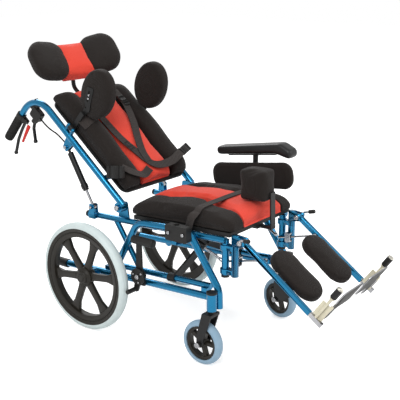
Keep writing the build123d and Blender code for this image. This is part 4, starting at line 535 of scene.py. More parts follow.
def headward(front, across, stretch_across, stretch_up):
    """Move and stretch in the headrest's own directions."""
    def reshape(point):
        offset = point - HEAD_AT
        side = offset.dot(HEAD_SIDE)
        up = offset.dot(HEAD_UP)
        sideways = HEAD_SIDE * (side * (stretch_across - 1.0) + across * MM)
        rise = HEAD_UP * (up * (stretch_up - 1.0) + side * HEAD_ROLL)
        return point + (sideways + rise) + HEAD_FRONT * (front * MM)
    return reshape


print("headrest looks towards", [round(value, 3) for value in HEAD_FRONT])

# %% [markdown]
# Now the pads are sewn. Panels and bolsters are separate, as the seams in the picture show. Two lists keep those
# that the straps will lie on.

# %% Sew the pads
HEAD_TALL = 1.14  # stretch of the head pads up the back
HEAD_WIDE = 1.30  # stretch of the centre pad, so that it meets the wings
seat_forms = [stuffed("seat_panel", "seat_cushion_center", "frame", slot="red_fabric", flat=DOWN)]
back_forms = [stuffed("back_panel", "back_cushion_center", "back", slot="red_fabric", flat=REARWARD)]
stuffed("headrest_panel", "headrest_center", "headrest", slot="red_fabric", cut=(HEAD_PAD_BACK, -HEAD_FRONT), soft=5,
        reshape=headward(-6, -6, HEAD_WIDE, HEAD_TALL))
stuffed("pommel_pad", "pommel_block", "pommel", soft=4)
stuffed("armrest_side_pad", "side_cushion", "armrest", draw_in=1 * MM, most=3 * MM)
for hand, side in SIDES:
    seat_forms.append(stuffed("seat_wing_" + hand, "seat_cushion_sides", "frame", side, flat=DOWN))
    back_forms.append(stuffed("back_bolster_" + hand, "back_bolsters", "back", side, flat=REARWARD))
    stuffed("headrest_wing_" + hand, "headrest_wings", "headrest", side, soft=14,
            reshape=headward(4, -20 * side - 8, 1.0, HEAD_TALL))
    stuffed("trunk_pad_" + hand, "lateral_pad_" + hand, "trunk_support_" + hand)
    stuffed("calf_cushion_" + hand, "calf_pad_" + hand, "leg_" + hand)

# %% [markdown]
# Behind the head pad a half cup turns on the barrel of the stem. It is the part of the same solid that the pad's cut
# threw away, kept here in black plastic.

# %% Headrest cup
cup = merged_copy("headrest_cup", "headrest_center")
slice_off(cup, HEAD_PAD_BACK, HEAD_FRONT)
hand_over(cup, "headrest", "black_plastic", 40.0)
print("headrest cup faces", len(cup.data.polygons))

# %% [markdown]
# A strap starts as a flat grid of narrow strips. Its points are moved along a smooth route through a few places read
# from the picture, so that the ribbon bends in its own plane without creases.

# %% Ribbons
STRAP_STEPS = 48
STRAP_ROWS = 4
WEB_T = 2.6 * MM


def joined_form(name, pieces):
    """One copy of several pads, to lay a strap on."""
    copies = [added(name, piece.data.copy()) for piece in pieces]
    clear_selection()
    for copy in copies:
        copy.select_set(True)
    bpy.context.view_layer.objects.active = copies[0]
    bpy.ops.object.join()
    return copies[0]


def smooth_route(points, steps):
    """Even stations along a curve that passes through the points."""
    ends = [2 * points[0] - points[1], *points, 2 * points[-1] - points[-2]]
    stations = []
    spans = len(points) - 1
    for step in range(steps + 1):
        where = min(step * spans / steps, spans - 1e-6)
        index = int(where)
        share = where - index
        before, first, second, after = ends[index:index + 4]
        bend = (2 * before - 5 * first + 4 * second - after) * share ** 2
        twist = (3 * first - before - 3 * second + after) * share ** 3
        stations.append(0.5 * (2 * first + (second - before) * share + bend + twist))
    return stations


def ribbon(name, points, width, normal):
    """Grid along a route, flat towards normal, with the station of every vertex."""
    route = smooth_route(points, STRAP_STEPS)
    clear_selection()
    bpy.ops.mesh.primitive_grid_add(x_subdivisions=STRAP_STEPS, y_subdivisions=STRAP_ROWS, size=1.0)
    piece = bpy.context.object
    piece.name = name
    stations = [round((vertex.co.x + 0.5) * STRAP_STEPS) for vertex in piece.data.vertices]
    for vertex, station in zip(piece.data.vertices, stations):
        ahead = route[min(station + 1, STRAP_STEPS)] - route[max(station - 1, 0)]
        out = normal.cross(ahead.normalized()).normalized()
        vertex.co = route[station] + out * (vertex.co.y * width * MM)
    return piece, stations


print("ribbons have", STRAP_STEPS * STRAP_ROWS, "faces")

# %% [markdown]
# The ribbon is shrink-wrapped onto a joined copy of the pads. That alone would dip into every hollow, so stations
# are lifted until the strap bridges them, as a taut strap does. Solidify gives it thickness.

# %% Lay a strap
TOUCH = 1e-4  # a point that moved less than this met no pad
EASE = 4  # rounds that round the bends off


def pull_taut(heights, rounds):
    """Lifts the stations until the strap bridges hollows, then rounds the bends off."""
    known = [index for index, height in enumerate(heights) if height is not None]
    levels = [heights[min(known, key=lambda place: abs(place - index))] for index in range(len(heights))]
    for turn in range(rounds):
        for index in range(1, len(levels) - 1):
            levels[index] = max(levels[index], (levels[index - 1] + levels[index + 1]) / 2)
    for turn in range(EASE):
        triples = zip(levels, levels[1:], levels[2:])
        levels = [levels[0], *[(low + 2 * middle + high) / 4 for low, middle, high in triples], levels[-1]]
    return levels


def thicken(piece, body, node=None):
    pick(piece)
    bpy.ops.object.transform_apply(location=True, rotation=True, scale=True)
    edit(piece)
    bpy.ops.mesh.normals_make_consistent(inside=False)
    object_mode()
    modify(piece, "SOLIDIFY", thickness=WEB_T, offset=0.0)
    hand_over(piece, body, "webbing", 50.0, node=node)


def strap(name, points, width, form, normal, lift, body, taut, node=None):
    """Strap laid on a form; returns the two ends of its middle line."""
    piece, stations = ribbon(name, points, width, normal)
    turn = normal.to_track_quat("Z", "Y").to_matrix().to_4x4()
    piece.data.transform(turn.inverted())
    piece.matrix_world = turn
    bpy.context.view_layer.update()
    before = [vertex.co.z for vertex in piece.data.vertices]
    modify(piece, "SHRINKWRAP", target=form, wrap_method="PROJECT", use_project_z=True, use_negative_direction=True,
           use_positive_direction=False, offset=0.0)
    heights = [None] * (STRAP_STEPS + 1)
    for vertex, station, height in zip(piece.data.vertices, stations, before):
        hit = height - vertex.co.z > TOUCH
        if hit and (heights[station] is None or vertex.co.z > heights[station]):
            heights[station] = vertex.co.z
    levels = pull_taut(heights, taut)
    ends = {0: Vector(), STRAP_STEPS: Vector()}
    for vertex, station in zip(piece.data.vertices, stations):
        vertex.co.z = levels[station] + lift * MM
        if station in ends:
            ends[station] += turn @ vertex.co / (STRAP_ROWS + 1)
    thicken(piece, body, node)
    print(name, "strap faces", len(piece.data.polygons))
    return ends[0], ends[STRAP_STEPS]


print("webbing is", WEB_T, "m thick")

# %% [markdown]
# Two shoulder straps cross low on the chest, with a waist strap and a band round one bolster. Routes are given
# across the chair and up the back. Where straps cross, one is lifted more.

# %% Harness
IN_FRONT = 200  # the ribbons start this far in front of the pivot
back_form = joined_form("back_form", back_forms)
HARNESS = (  # name, width, lift, rounds of pulling taut, route
    ("harness_right_shoulder", 32, 4.0, 60,
     ((-96, 430), (-84, 322), (-72, 223), (-51, 154), (-28, 92), (6, 66), (75, 66), (140, 86), (168, 98))),
    ("harness_left_shoulder", 32, 6.5, 60,
     ((84, 440), (81, 368), (47, 285), (2, 202), (-25, 138), (-30, 92))),
    ("harness_right_waist", 30, 3.5, 20, ((-168, 98), (-150, 74), (-122, 58), (-78, 54), (-40, 68))),
    ("bolster_band_right", 40, 2.5, 4, ((-184, 316), (-160, 320), (-130, 328), (-100, 338))),
)
for name, width, lift, taut, route in HARNESS:
    points = [on_back(IN_FRONT, across, up) for across, up in route]
    strap(name, points, width, back_form, FORWARD, lift, "back", taut,
          "harness" if name == "harness_right_shoulder" else None)
bpy.data.objects.remove(back_form)

# %% [markdown]
# The lap belt comes up from the seat tubes on both sides and runs over the thighs. Here it lies empty on the cushion,
# from one edge to the other, just behind the pommel.

# %% Lap belt
HIGH = 700  # the ribbon starts this far above the floor
BELT_W = 29
seat_form = joined_form("seat_form", seat_forms)
BELT_ROUTE = ((436, -172), (441, -140), (449, -100), (456, -40), (458, 20), (452, 90), (438, 172))
points = [on_chair(x, y, HIGH) for x, y in BELT_ROUTE]
belt_ends = strap("lap_belt_web", points, BELT_W, seat_form, -DOWN, 2.0, "frame", 60, "lap_belt")
bpy.data.objects.remove(seat_form)

# %% [markdown]
# At each end the belt hangs over the cushion's edge down to the tube. The shrink-wrap looks straight down and can't
# follow it there, so that run is a ribbon of its own.

# %% Belt ends
BELT_TURN = (-1, 14, -6)  # first step over the edge, mm
BELT_HANG = ((430, 195, 484), (424, 197, 462), (416, 196, 438))
BELT_LEAN = 0.35
for (hand, side), top in zip(SIDES, belt_ends):
    x, y, z = BELT_TURN
    route = [top, top + Vector((x, side * y, z)) * MM, *[on_chair(x, side * y, z) for x, y, z in BELT_HANG]]
    end = ribbon("lap_belt_end_" + hand, route, BELT_W, Vector((0, side, BELT_LEAN)).normalized())[0]
    thicken(end, "frame")
print("belt ends hang to", BELT_HANG[-1][2] * MM)

# %% [markdown]
# The two release cables leave the lever housings and run down to the heads of the recline struts. Each is one smooth
# curve through the drawing's route, thickened to the cable's size.

# %% Release cables
CABLE_D = 6.0
CABLE_ROUTE = ((-44.0, 469.9), (-44.0, 440.12), (-36.08, 404.38), (-21.92, 370.14), (-20.0, 321.0))
for hand, side in SIDES:
    points = [on_back(front, side * CANE_Y, up) for front, up in CABLE_ROUTE]
    data = bpy.data.curves.new("release_cable_" + hand, "CURVE")
    data.dimensions = "3D"
    spline = data.splines.new("NURBS")
    spline.points.add(len(points) - 1)
    for control, point in zip(spline.points, points):
        control.co = (*point, 1.0)
    spline.order_u = 3
    spline.use_endpoint_u = True
    piece = added("release_cable_" + hand, data)
    line = bpy.data.meshes.new_from_object(piece.evaluated_get(bpy.context.evaluated_depsgraph_get()))
    pairs = [[line.vertices[index].co for index in edge.vertices] for edge in line.edges]
    length = sum((first - last).length for first, last in pairs)
    data.bevel_depth = CABLE_D * MM / 2
    data.bevel_resolution = 3
    data.use_fill_caps = True
    data.materials.append(RUBBER)
    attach(piece, "back")
    tuple(points[0])
    if side < 0:
        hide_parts("back_cables")
    print(piece.name, "length", round(length, 3))

# %% [markdown]
# Wheels are turned shapes. A ring of points is laid out as the section, and Spin carries it round the axle. A Screw
# modifier would do the same, but Spin leaves a plain mesh at once.

# %% Turning on a lathe
TREAD_AT = 0.17  # grooves from the tyre's middle, as a share of its width
TREAD_HALF = 1.2
TYRE_STEPS = 32


def turned(name, section, steps, at, direction, body, slot, **more):
    """Closed section of (radius, across) points in millimetres, spun about Y; then Y turns towards direction."""
    clear_selection()
    bpy.ops.mesh.primitive_circle_add(vertices=len(section), radius=0.1)
    piece = bpy.context.object
    piece.name = name
    for vertex, (radius, across) in zip(piece.data.vertices, section):
        vertex.co = (radius * MM, across * MM, 0.0)
    edit(piece)
    bpy.ops.mesh.spin(steps=steps, angle=2 * math.pi, center=(0, 0, 0), axis=(0, 1, 0))
    close_up()
    turn = ACROSS.rotation_difference(Vector(direction)).to_matrix().to_4x4()
    piece.data.transform(Matrix.Translation(at) @ turn)
    hand_over(piece, body, slot, **more)
    return piece


def oval_tyre(radius, width, height, seat, groove):
    """Section of a solid tyre: an oval, cut at the rim, with two tread grooves."""
    middle = radius - height / 2
    section = []
    for step in range(TYRE_STEPS + 1):
        angle = math.radians(-110 + 220 * step / TYRE_STEPS)
        r = middle + math.cos(angle) * height / 2
        across = math.sin(angle) * width / 2
        if abs(abs(across) - width * TREAD_AT) < TREAD_HALF and r > middle:
            r -= groove
        section.append((max(r, seat), across))
    return section


print("tyre sections have", TYRE_STEPS + 1, "points")

# %% [markdown]
# One spoke is modelled and copied, so that all six are alike. A long block is subdivided, widened at both ends, drawn
# in a little and bevelled. Spin copies it round the axle.

# %% Spokes
RIM_IN = 148.0
HUB_R = 33.0
SPOKES = 6
SPOKE_SIZE = (20 * MM, 31 * MM)
SPOKE_LAP = 8  # run of the spoke into hub and rim together
RIM_FLARE = (0.75, 0.70)  # extra width at the rim, and the share of the length where it begins
HUB_FLARE = (0.15, 0.25)
DRAWN_IN = 3 * MM  # an inset of all faces has no border, so it only draws the block in
length = (RIM_IN - HUB_R + SPOKE_LAP) * MM
star = block(length, *SPOKE_SIZE)
star.data.transform(Matrix.Translation((MM * (HUB_R + RIM_IN) / 2, 0, 0)))
choose_edges(star, lambda first, last: abs(first.x - last.x) > length / 2)
bpy.ops.mesh.subdivide(number_cuts=5)
object_mode()
for vertex in star.data.vertices:
    share = (vertex.co.x / MM - HUB_R) / (RIM_IN - HUB_R)
    at_rim = max(0.0, share - RIM_FLARE[1]) / (1.0 - RIM_FLARE[1])
    at_hub = max(0.0, HUB_FLARE[1] - share) / HUB_FLARE[1]
    vertex.co.z *= 1.0 + RIM_FLARE[0] * at_rim + HUB_FLARE[0] * at_hub
edit(star)
bpy.ops.mesh.select_mode(type="FACE")
bpy.ops.mesh.inset(thickness=6 * MM, depth=-DRAWN_IN)
object_mode()
bevel(star, 1.8 * MM, 2, 50)
edit(star)
bpy.ops.mesh.spin(steps=SPOKES, angle=2 * math.pi, center=(0, 0, 0), axis=(0, 1, 0), dupli=True)
close_up()
print("spoke star faces", len(star.data.polygons))

# %% [markdown]
# Each rear wheel has a turned rim, hub and tyre and a copy of the spokes. Turned pieces are made about the origin,
# where Spin is easiest, and then carried to the axle. The casters only need new tyres.

# %% Rear wheels
RIM_R = 180.0
SPOKE_TURN = math.radians(8.0)
REAR_TYRE = oval_tyre(200.0, 40.0, 32.0, RIM_R + 0.1, 0.9)
SMALL_TYRE = oval_tyre(77.0, 34.0, 26.0, 57.1, 0.5)
rim_section = ((RIM_IN, -13), (RIM_IN + 5, -15.5), (RIM_R - 9, -16.5), (RIM_R - 5, -19), (RIM_R, -19), (RIM_R, 19),
               (RIM_R - 5, 19), (RIM_R - 9, 16.5), (RIM_R - 12, 16.5), (RIM_R - 13, 14.5), (RIM_R - 15, 14.5),
               (RIM_R - 16, 16.5), (RIM_IN + 5, 15.5), (RIM_IN, 13), (RIM_IN - 1.5, 8), (RIM_IN - 1.5, -8))
hub_section = ((0.1, -26), (26, -26), (30, -22), (HUB_R + 2, -10), (HUB_R + 2, 10), (29, 14), (27, 17), (25, 18),
               (24, 21), (22, 23.5), (15, 25), (14, 24), (12.5, 24), (11.5, 25.5), (4, 26), (0.1, 26))
for hand, side in SIDES:
    body = "wheel_" + hand
    at = joint_at("rear_wheel_spin_" + hand)
    outward = (0, side, 0)
    rim = turned("wheel_rim_" + hand, rim_section, 128, at, outward, body, "rim_black",
                 node="rear_wheel_" + hand)
    turned("wheel_hub_" + hand, hub_section, 64, at, outward, body, "rim_black")
    spokes = added("wheel_spokes_" + hand, star.data.copy())
    spokes.data.transform(Matrix.Rotation(-SPOKE_TURN, 4, "Y"))
    spokes.data.transform(Matrix.Translation(at))
    hand_over(spokes, body, "rim_black")
    tyre = turned("wheel_tyre_" + hand, REAR_TYRE, 128, at, outward, body, "pale_tyre", angle=50.0,
                  node="rear_tyre_" + hand)
    caster = joints["caster_spin_" + hand]
    turned("caster_ring_" + hand, SMALL_TYRE, 80, caster["pos_m"], caster["axis"], "caster_wheel_" + hand,
           "blue_grey_tyre", angle=50.0, node="caster_tyre_" + hand)
bpy.data.objects.remove(star)
print("wheel rim faces", len(rim.data.polygons), "tyre faces", len(tyre.data.polygons))

# %% [markdown]
# Some welded nodes carry more than one finish: the leg tube is lacquered, but its extension is bright, its flange
# cream and its knob black. A copy gets all the finishes, and every face picks one by where it lies.

# %% Mixed finishes
def painted(piece, node, body, slot, place, finishes):
    """finishes lists (material, test); the last test that the place of a face's centre passes decides."""
    hand_over(piece, body, slot, node=node)
    for material, test in finishes[1:]:
        piece.data.materials.append(material)
    counts = [0] * len(finishes)
    for face in piece.data.polygons:
        for index, (material, test) in enumerate(finishes):
            if test(*place(face.center)):
                face.material_index = index
        counts[face.material_index] += 1
    print(piece.name, "faces by finish", counts)


print("materials", len(bpy.data.materials))

# %% [markdown]
# The leg tube's solid has sharp edges, but in the picture they are round and carry a streak of light. Triangles are
# first dissolved into flat faces, so that each long edge is one edge, then Bevel rounds it.

# %% Rounding the leg tubes
TUBE_HALF = (8.0, 9.5)  # half width and half depth of the leg tube, mm
TUBE_END = 309
TUBE_ROUND = 4.5 * MM
NEAR = 0.05


def round_tube(piece, hand, side):
    """Round the leg tube's long edges; the edge under the calf pad's bracket stays as it is."""
    def on_edge(point):
        x, y, z = along_leg(hand, point)
        end = x < 0 and abs(math.hypot(x, z) - TUBE_HALF[1]) < NEAR
        beside = abs(abs(y) - TUBE_HALF[0]) < NEAR
        along = abs(abs(z) - TUBE_HALF[1]) < NEAR and x < TUBE_END + 1 and (z > 0 or y * side > 0)
        return beside and (along or end)

    def long_edge(first, last):
        same_side = (along_leg(hand, first)[1] > 0) == (along_leg(hand, last)[1] > 0)
        return same_side and on_edge(first) and on_edge(last)

    edit(piece)
    bpy.ops.mesh.dissolve_limited(angle_limit=math.radians(1))
    choose_edges(piece, long_edge)
    bpy.ops.mesh.bevel(offset=TUBE_ROUND, segments=5, harden_normals=True)
    bpy.ops.mesh.select_mode(type="VERT")
    object_mode()
    print(piece.name, "faces", len(piece.data.polygons))


print("edges are rounded to", TUBE_ROUND)

# %% [markdown]
# Now the leg rests get their finishes, by places measured down the leg, across it and out of its front. On the
# hanger only the latch of the ratchet rod is bright.

# %% Leg rests
KNOB = (103, 138)  # black part of the knob, out of the leg's front
FLANGE = (300, 3.5, 2)  # cream flange: beyond this, in front of this, and beside the bar
BRACKET = (300, -10)  # black bracket: before this, and behind this
LATCH = (-77 * MM, 17 * MM)  # height from the leg's pivot, and half height
LATCH_INSIDE = 162.5 * MM
for hand, side in SIDES:
    leg_bar = merged_copy("leg_bar_" + hand, "leg_tube_" + hand)
    round_tube(leg_bar, hand, side)
    painted(leg_bar, "leg_tube_" + hand, "leg_" + hand, "blue_paint", lambda point: along_leg(hand, point), [
        (BLUE_PAINT, lambda down, across, front: True),
        (CHROME, lambda down, across, front: down > TUBE_END),
        (BLACK_PAINT, lambda down, across, front: down < BRACKET[0] and front < BRACKET[1]),
        (CREAM, lambda down, across, front: down > FLANGE[0] and front > FLANGE[1] and abs(across) > FLANGE[2]),
        (BLACK_PLASTIC, lambda down, across, front: KNOB[0] < front < KNOB[1]),
        (ALLOY, lambda down, across, front: front >= KNOB[1]),
    ])
    latch = joint_at("leg_raise_" + hand).z + LATCH[0]
    leg_post = merged_copy("leg_post_" + hand, "leg_hanger_" + hand)
    painted(leg_post, "leg_hanger_" + hand, "hanger_" + hand, "blue_paint", Vector, [
        (BLUE_PAINT, lambda x, y, z: True),
        (CHROME, lambda x, y, z: abs(z - latch) < LATCH[1] and abs(y) < LATCH_INSIDE),
    ])

# %% [markdown]
# The footplates are castings: bright on the worn edges, dull on the broad faces. The broad faces are found as the
# direction in which most of the area looks, whatever the plate's tilt.

# %% Footplates
DULL = moulded("dull_casting", rgb(0.050, 0.049, 0.046), rgb(0.018, 0.018, 0.017), 0.50, 0.00005, 0.10)


def towards(face):
    return tuple(round(abs(value), 1) for value in face.normal)


for hand, side in SIDES:
    plate = merged_copy("foot_rest_" + hand, "footplate_" + hand)
    hand_over(plate, "foot_" + hand, "alloy", material=CHROME, node="footplate_" + hand)
    plate.data.materials.append(DULL)
    spread = {}
    for face in plate.data.polygons:
        spread[towards(face)] = spread.get(towards(face), 0.0) + face.area
    main = max(spread, key=spread.get)
    broad = next(face.normal.copy() for face in plate.data.polygons if towards(face) == main)
    for face in plate.data.polygons:
        face.material_index = int(abs(face.normal.dot(broad)) > 0.9)
print("footplate faces look towards", main)

# %% [markdown]
# The arm pad is one block of skinned foam. Its copy is remeshed into small faces and smoothed until the bend at its
# front runs round. Smoothing shrinks it, so Displace grows it back.

# %% Arm pad
arm_pad = merged_copy("arm_pad", "armrest_pad")
arm_pad.data.remesh_voxel_size = 3 * MM
bpy.ops.object.voxel_remesh()
modify(arm_pad, "SMOOTH", factor=0.5, iterations=40)
modify(arm_pad, "DISPLACE", strength=3 * MM, mid_level=0.0)
hand_over(arm_pad, "armrest", "gloss_black", 180.0, node="armrest_pad")
print("arm pad faces", len(arm_pad.data.polygons))

# %% [markdown]
# Buckles join the straps. One is modelled from a block cut into seven strips: two strips are sunk for the webbing and
# the middle one is raised as the press button.

# %% Buckles
BUCKLE_SIZE = (64 * MM, 36 * MM, 11 * MM)
STRIPS = 7
STRIP_DEPTHS = ((2, -4 * MM), (-2, -4 * MM), (0, 2.5 * MM))  # strip from the middle, and its rise
model = block(*BUCKLE_SIZE)
edit(model)
bpy.ops.mesh.subdivide(number_cuts=STRIPS - 1)
for strip, depth in STRIP_DEPTHS:
    middle = strip * BUCKLE_SIZE[0] / STRIPS
    choose(model, "FACE", lambda face: face.normal.z > 0.9 and abs(face.center.x - middle) < 2 * MM)
    bpy.ops.mesh.inset(thickness=1.2 * MM, depth=depth)
object_mode()
bevel(model, 1.2 * MM, 2, 40)


def buckle(name, at, along, out, scale):
    piece = added(name, model.data.copy())
    along = along.normalized()
    sideways = out.normalized().cross(along).normalized()
    turn = Matrix((along, sideways, along.cross(sideways))).transposed().to_4x4()
    piece.data.transform(Matrix.Translation(at) @ turn @ Matrix.Scale(scale, 4))
    hand_over(piece, "back", "black_plastic")
    print(name, "faces", len(piece.data.polygons))


buckle("buckle_right", on_back(78, -190, 96), FORWARD * 0.75 - UPWARD * 0.66, -ACROSS + FORWARD * 0.35, 1.2)
buckle("buckle_left", on_back(100, 184, 98), ACROSS + UPWARD * 0.3, FORWARD + ACROSS * 0.4, 0.9)
buckle("slider_left", on_back(97, 81, 378), UPWARD - ACROSS * 0.1, FORWARD, 0.8)
buckle("slider_right", on_back(95, -60, 178), UPWARD - ACROSS * 0.3, FORWARD, 0.6)
bpy.data.objects.remove(model)

# %% [markdown]
# One domed bolt head is modelled from a cylinder: its top is inset and sunk to make the socket, its rim bevelled.
# All bolts are copies of it in different sizes.

# %% Bolt heads
HEAD_STEPS = ((0.28, 0.16), (0.24, 0.05), (0.08, -0.30))  # dome, flat and socket, in shares of the radius
clear_selection()
bpy.ops.mesh.primitive_cylinder_add(vertices=24, radius=1.0, depth=0.7, location=(0, 0, 0.35))
head = bpy.context.object
bpy.ops.object.transform_apply(location=True, rotation=True, scale=True)
choose(head, "FACE", lambda face: face.normal.z > 0.9)
for inward, rise in HEAD_STEPS:
    bpy.ops.mesh.inset(thickness=inward, depth=rise)
object_mode()
bevel(head, 0.08, 2, 30)
bolts = []


def bolt(at, direction, radius, body):
    piece = added("bolt_%02d_%s" % (len(bolts) + 1, body), head.data.copy())
    bolts.append(piece)
    turn = Vector((0, 0, 1)).rotation_difference(Vector(direction)).to_matrix().to_4x4()
    piece.data.transform(Matrix.Translation(at) @ turn @ Matrix.Scale(radius * MM, 4))
    hand_over(piece, body, "bright_metal")


print("bolt head faces", len(head.data.polygons))

# %% [markdown]
# The heads go where the drawing has pins and clamps, each on the outer face of what it holds. The wheel lock's disc
# and the hanger's latch sit among them and are turned here too.

# %% Place the bolts
RECLINE_FACE = 212.9  # outer faces, from the middle of the chair
LEG_FACES = (192.4, 155.6)
DISC_FACE = 239.5
DISC_TOP = 242.5
STRUT_HEAD = (-23.0, 208.1, 310.0)
DISC_BOLTS = (21.0, (40, 160, 280))  # distance from the pin, and angles
LATCH_AT = (627, 196, 444)
CASTER_FACE = 30.0  # from the caster's middle
SEAT_BOLTS = ((-18, 210.0, 33, 6.5), (373, 245.7, 12, 6.0), (433, 245.7, 12, 6.0))  # X, face, rise, radius
TRUNK_BOLTS = ((176, 174.1, 356), (188, 174.1, 361))
lock_section = ((0.1, 0), (29, 0), (30, 1), (30, 4), (29, 5), (25, 5), (24, 3), (0.1, 3))
pin_section = ((0.1, 0), (4, 0), (4, 20), (0.1, 20))
tip_section = ((0.1, 18), (5.5, 18), (7, 20), (7.4, 30), (7, 40), (5, 42), (0.1, 42))


def beside(point, side, face):
    """The point moved out to a face."""
    return Vector((point.x, side * face * MM, point.z))


for hand, side in SIDES:
    out = Vector((0, side, 0))
    hanger = "hanger_" + hand
    bolt(beside(PIVOT, side, RECLINE_FACE), out, 9.5, "frame")
    x, face, rise, radius = SEAT_BOLTS[0]
    bolt(on_chair(x, side * face, seat_z(x) + rise), out, radius, "frame")
    x, y, z = STRUT_HEAD
    bolt(on_back(x, side * y, z), out, 6.5, "back")
    leg_at = joint_at("leg_raise_" + hand)
    bolt(beside(leg_at, side, LEG_FACES[0]), out, 8.5, hanger)
    bolt(beside(leg_at, side, LEG_FACES[1]), -out, 8.5, hanger)
    lock_at = joint_at("wheel_lock_turn_" + hand)
    turned("lock_disc_" + hand, lock_section, 48, beside(lock_at, side, DISC_FACE), out, "frame", "black_plastic")
    bolt(beside(lock_at, side, DISC_TOP), out, 9.0, "frame")
    for turn in DISC_BOLTS[1]:
        spread = Vector((math.cos(math.radians(turn)), 0, math.sin(math.radians(turn)))) * (DISC_BOLTS[0] * MM)
        bolt(beside(lock_at, side, DISC_TOP) + spread, out, 4.0, "frame")
    x, y, z = LATCH_AT
    pull_at = on_chair(x, side * y, z)
    pull = Vector((0.95, side * 0.22, 0.20)).normalized()
    turned("latch_pin_" + hand, pin_section, 24, pull_at, pull, hanger, "bright_metal")
    turned("latch_tip_" + hand, tip_section, 32, pull_at, pull, hanger, "black_plastic")
    axis = Vector(joints["caster_spin_" + hand]["axis"])
    for way in (axis, -axis):
        caster_face = joint_at("caster_spin_" + hand) + way * (CASTER_FACE * MM)
        bolt(caster_face, way, 9.5, "caster_swivel_" + hand)
    for x, face, rise, radius in SEAT_BOLTS[1:]:
        bolt(on_chair(x, side * face, seat_z(x) + rise), out, radius, "frame")
    for x, y, z in TRUNK_BOLTS:
        bolt(on_back(x, side * y, z), out, 4.0, "trunk_support_" + hand)
bpy.data.objects.remove(head)
print("bolts", len(bolts))

# %% [markdown]
# Under the seat a gas spring on each side slopes down towards the front. Its black cylinder and bright rod are two
# turned pieces on one line.

# %% Gas springs
SPRING = ((386.0, 170.0, 414.0), (540.0, 167.0, 348.0))  # upper and lower end
cylinder_section = ((0.1, 0), (9, 0), (11, 2), (11, 84), (9, 86), (6, 87), (0.1, 87))
rod_section = ((0.1, 80), (4.2, 80), (4.2, 150), (5.2, 151), (6, 154), (6, 163), (5, 165), (0.1, 165))
for hand, side in SIDES:
    top, end = [on_chair(x, side * y, z) for x, y, z in SPRING]
    turned("spring_body_" + hand, cylinder_section, 32, top, end - top, "frame", "gloss_black")
    turned("spring_rod_" + hand, rod_section, 24, top, end - top, "frame", "bright_metal")
    print("gas spring", hand, "length", round((end - top).length, 3))

# %% [markdown]
# Rubber grips have rings that stop a wet hand from slipping. The section is drawn with a small ridge every few
# millimetres and turned about the handle.

# %% Handle grips
GRIP_AT = (-122, 553)  # front end of the grip on the back
GRIP_REACH = 114
BORE = 12.7
VALLEY = 16.4
RIDGE = 18.2
PITCH = 6.0
RIDGE_HALF = 1.6
grip_section = [(BORE, 0.0), (16.6, 0.0)]
for step in range(1, 18):
    place = 3 + step * PITCH
    grip_section += [(VALLEY, place - RIDGE_HALF), (RIDGE, place), (VALLEY, place + RIDGE_HALF)]
grip_section += [(17.0, GRIP_REACH - 1.0), (14.0, GRIP_REACH + 1.6), (BORE, GRIP_REACH + 1.6)]
for hand, side in SIDES:
    place = on_back(GRIP_AT[0], side * CANE_Y, GRIP_AT[1])
    grip = turned("push_grip_" + hand, grip_section, 40, place, REARWARD, "back", "black_plastic", material=RUBBER)
print("grip faces", len(grip.data.polygons))

# %% [markdown]
# A red tab under each brake lever holds it closed as a parking brake. It starts as a flat block, is drawn out to a
# narrower tip and gets rounded edges.

# %% Parking tabs
RED_PLASTIC = moulded("parking_red", rgb(0.62, 0.030, 0.022), rgb(0.50, 0.022, 0.018), 0.35, 0.00004)
TAB_TOP = (-112, 500)  # on the back
TAB_TIP = (-190, 488)
TAB_SIZE = (15 * MM, 8 * MM)
TAB_TAPER = 0.55
for hand, side in SIDES:
    start, stop = [on_back(x, side * CANE_Y, z) for x, z in (TAB_TOP, TAB_TIP)]
    tab = block(*TAB_SIZE, (start - stop).length)
    tab.name = "parking_tab_" + hand
    for vertex in tab.data.vertices:
        if vertex.co.z < 0:
            vertex.co.x *= TAB_TAPER
    bevel(tab, 2.5 * MM, 3, 30)
    rise = (start - stop).normalized()
    turn = Matrix((ACROSS.cross(rise), ACROSS, rise)).transposed().to_4x4()
    tab.data.transform(Matrix.Translation((start + stop) / 2) @ turn)
    hand_over(tab, "brake_" + hand, "black_plastic", material=RED_PLASTIC)
    print(tab.name, "length", round((start - stop).length, 3))

# %% [markdown]
# The picture has a plain white ground with hardly a shadow. The floor is a large pale sheet. Camera rays see a little
# extra glow on it, so that it reads white and still keeps the soft shadow under the wheels.

# %% Floor
FLOOR_HALF = 14.0
FLOOR_TONE = 0.86
FLOOR_GLOW = 0.50

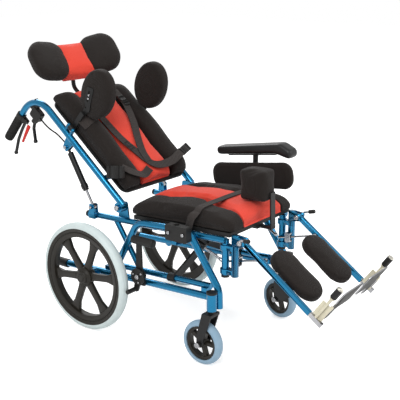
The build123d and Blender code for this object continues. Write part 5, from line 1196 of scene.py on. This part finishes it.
clear_selection()
bpy.ops.mesh.primitive_plane_add(size=2 * FLOOR_HALF, location=(0, 0, 0))
floor = bpy.context.object
floor.name = "studio_floor"
floor_finish = Finish("studio_floor", Roughness=1.0, Specular_IOR_Level=0.0, Emission_Strength=FLOOR_GLOW)
floor_finish.surface.inputs["Base Color"].default_value = rgb(FLOOR_TONE, FLOOR_TONE, FLOOR_TONE)
seen_floor = floor_finish.node("ShaderNodeLightPath", {}, {}, "Is Camera Ray")
mirrored_floor = floor_finish.node("ShaderNodeLightPath", {}, {}, "Is Glossy Ray")
floor_finish.feed("Emission Color", floor_finish.blend(seen_floor.top(mirrored_floor), rgb(0, 0, 0), rgb(1, 1, 1)))
floor.data.materials.append(floor_finish.material)
print("floor is", 2 * FLOOR_HALF, "m wide")

# %% [markdown]
# Three soft lamps light the chair from both sides of the front and from behind. Large discs leave broad pale
# streaks on the tubes, as soft boxes do.

# %% Lamps
LAMPS_TO = (0, 0, 0.5)


def lamp(name, at, size, watts):
    data = bpy.data.lights.new(name, "AREA")
    data.shape = "DISK"
    data.size = size
    data.energy = watts
    made = added(name, data)
    made.location = at
    made.rotation_euler = (Vector(LAMPS_TO) - Vector(at)).to_track_quat("-Z", "Y").to_euler()
    print(name, watts, "W")


lamp("key_lamp", (1.2, -2.6, 3.2), 2.2, 95)
lamp("fill_lamp", (3.0, 1.2, 2.0), 2.5, 45)
lamp("rim_lamp", (-2.4, 1.4, 2.8), 2.0, 60)

# %% [markdown]
# The world is white to the camera and to mirrors, and dimmer as a light, so that the shadows keep some depth.

# %% White world
AMBIENT = 0.60
world = bpy.data.worlds.new("studio_white")
bpy.context.scene.world = world
world.use_nodes = True
sky = world.node_tree
ground = sky.nodes["Background"]
ground.inputs["Color"].default_value = rgb(1.0, 1.0, 1.0)
ray = sky.nodes.new("ShaderNodeLightPath")
seen = Shade(sky, ray.outputs["Is Camera Ray"]).top(Shade(sky, ray.outputs["Is Glossy Ray"]))
seen = seen.top(Shade(sky, ray.outputs["Is Transmission Ray"]))
strength = seen * (1.0 - AMBIENT) + AMBIENT
sky.links.new(strength.socket, ground.inputs["Strength"])
bpy.context.scene.view_settings.view_transform = "Standard"
print("ambient light", AMBIENT)
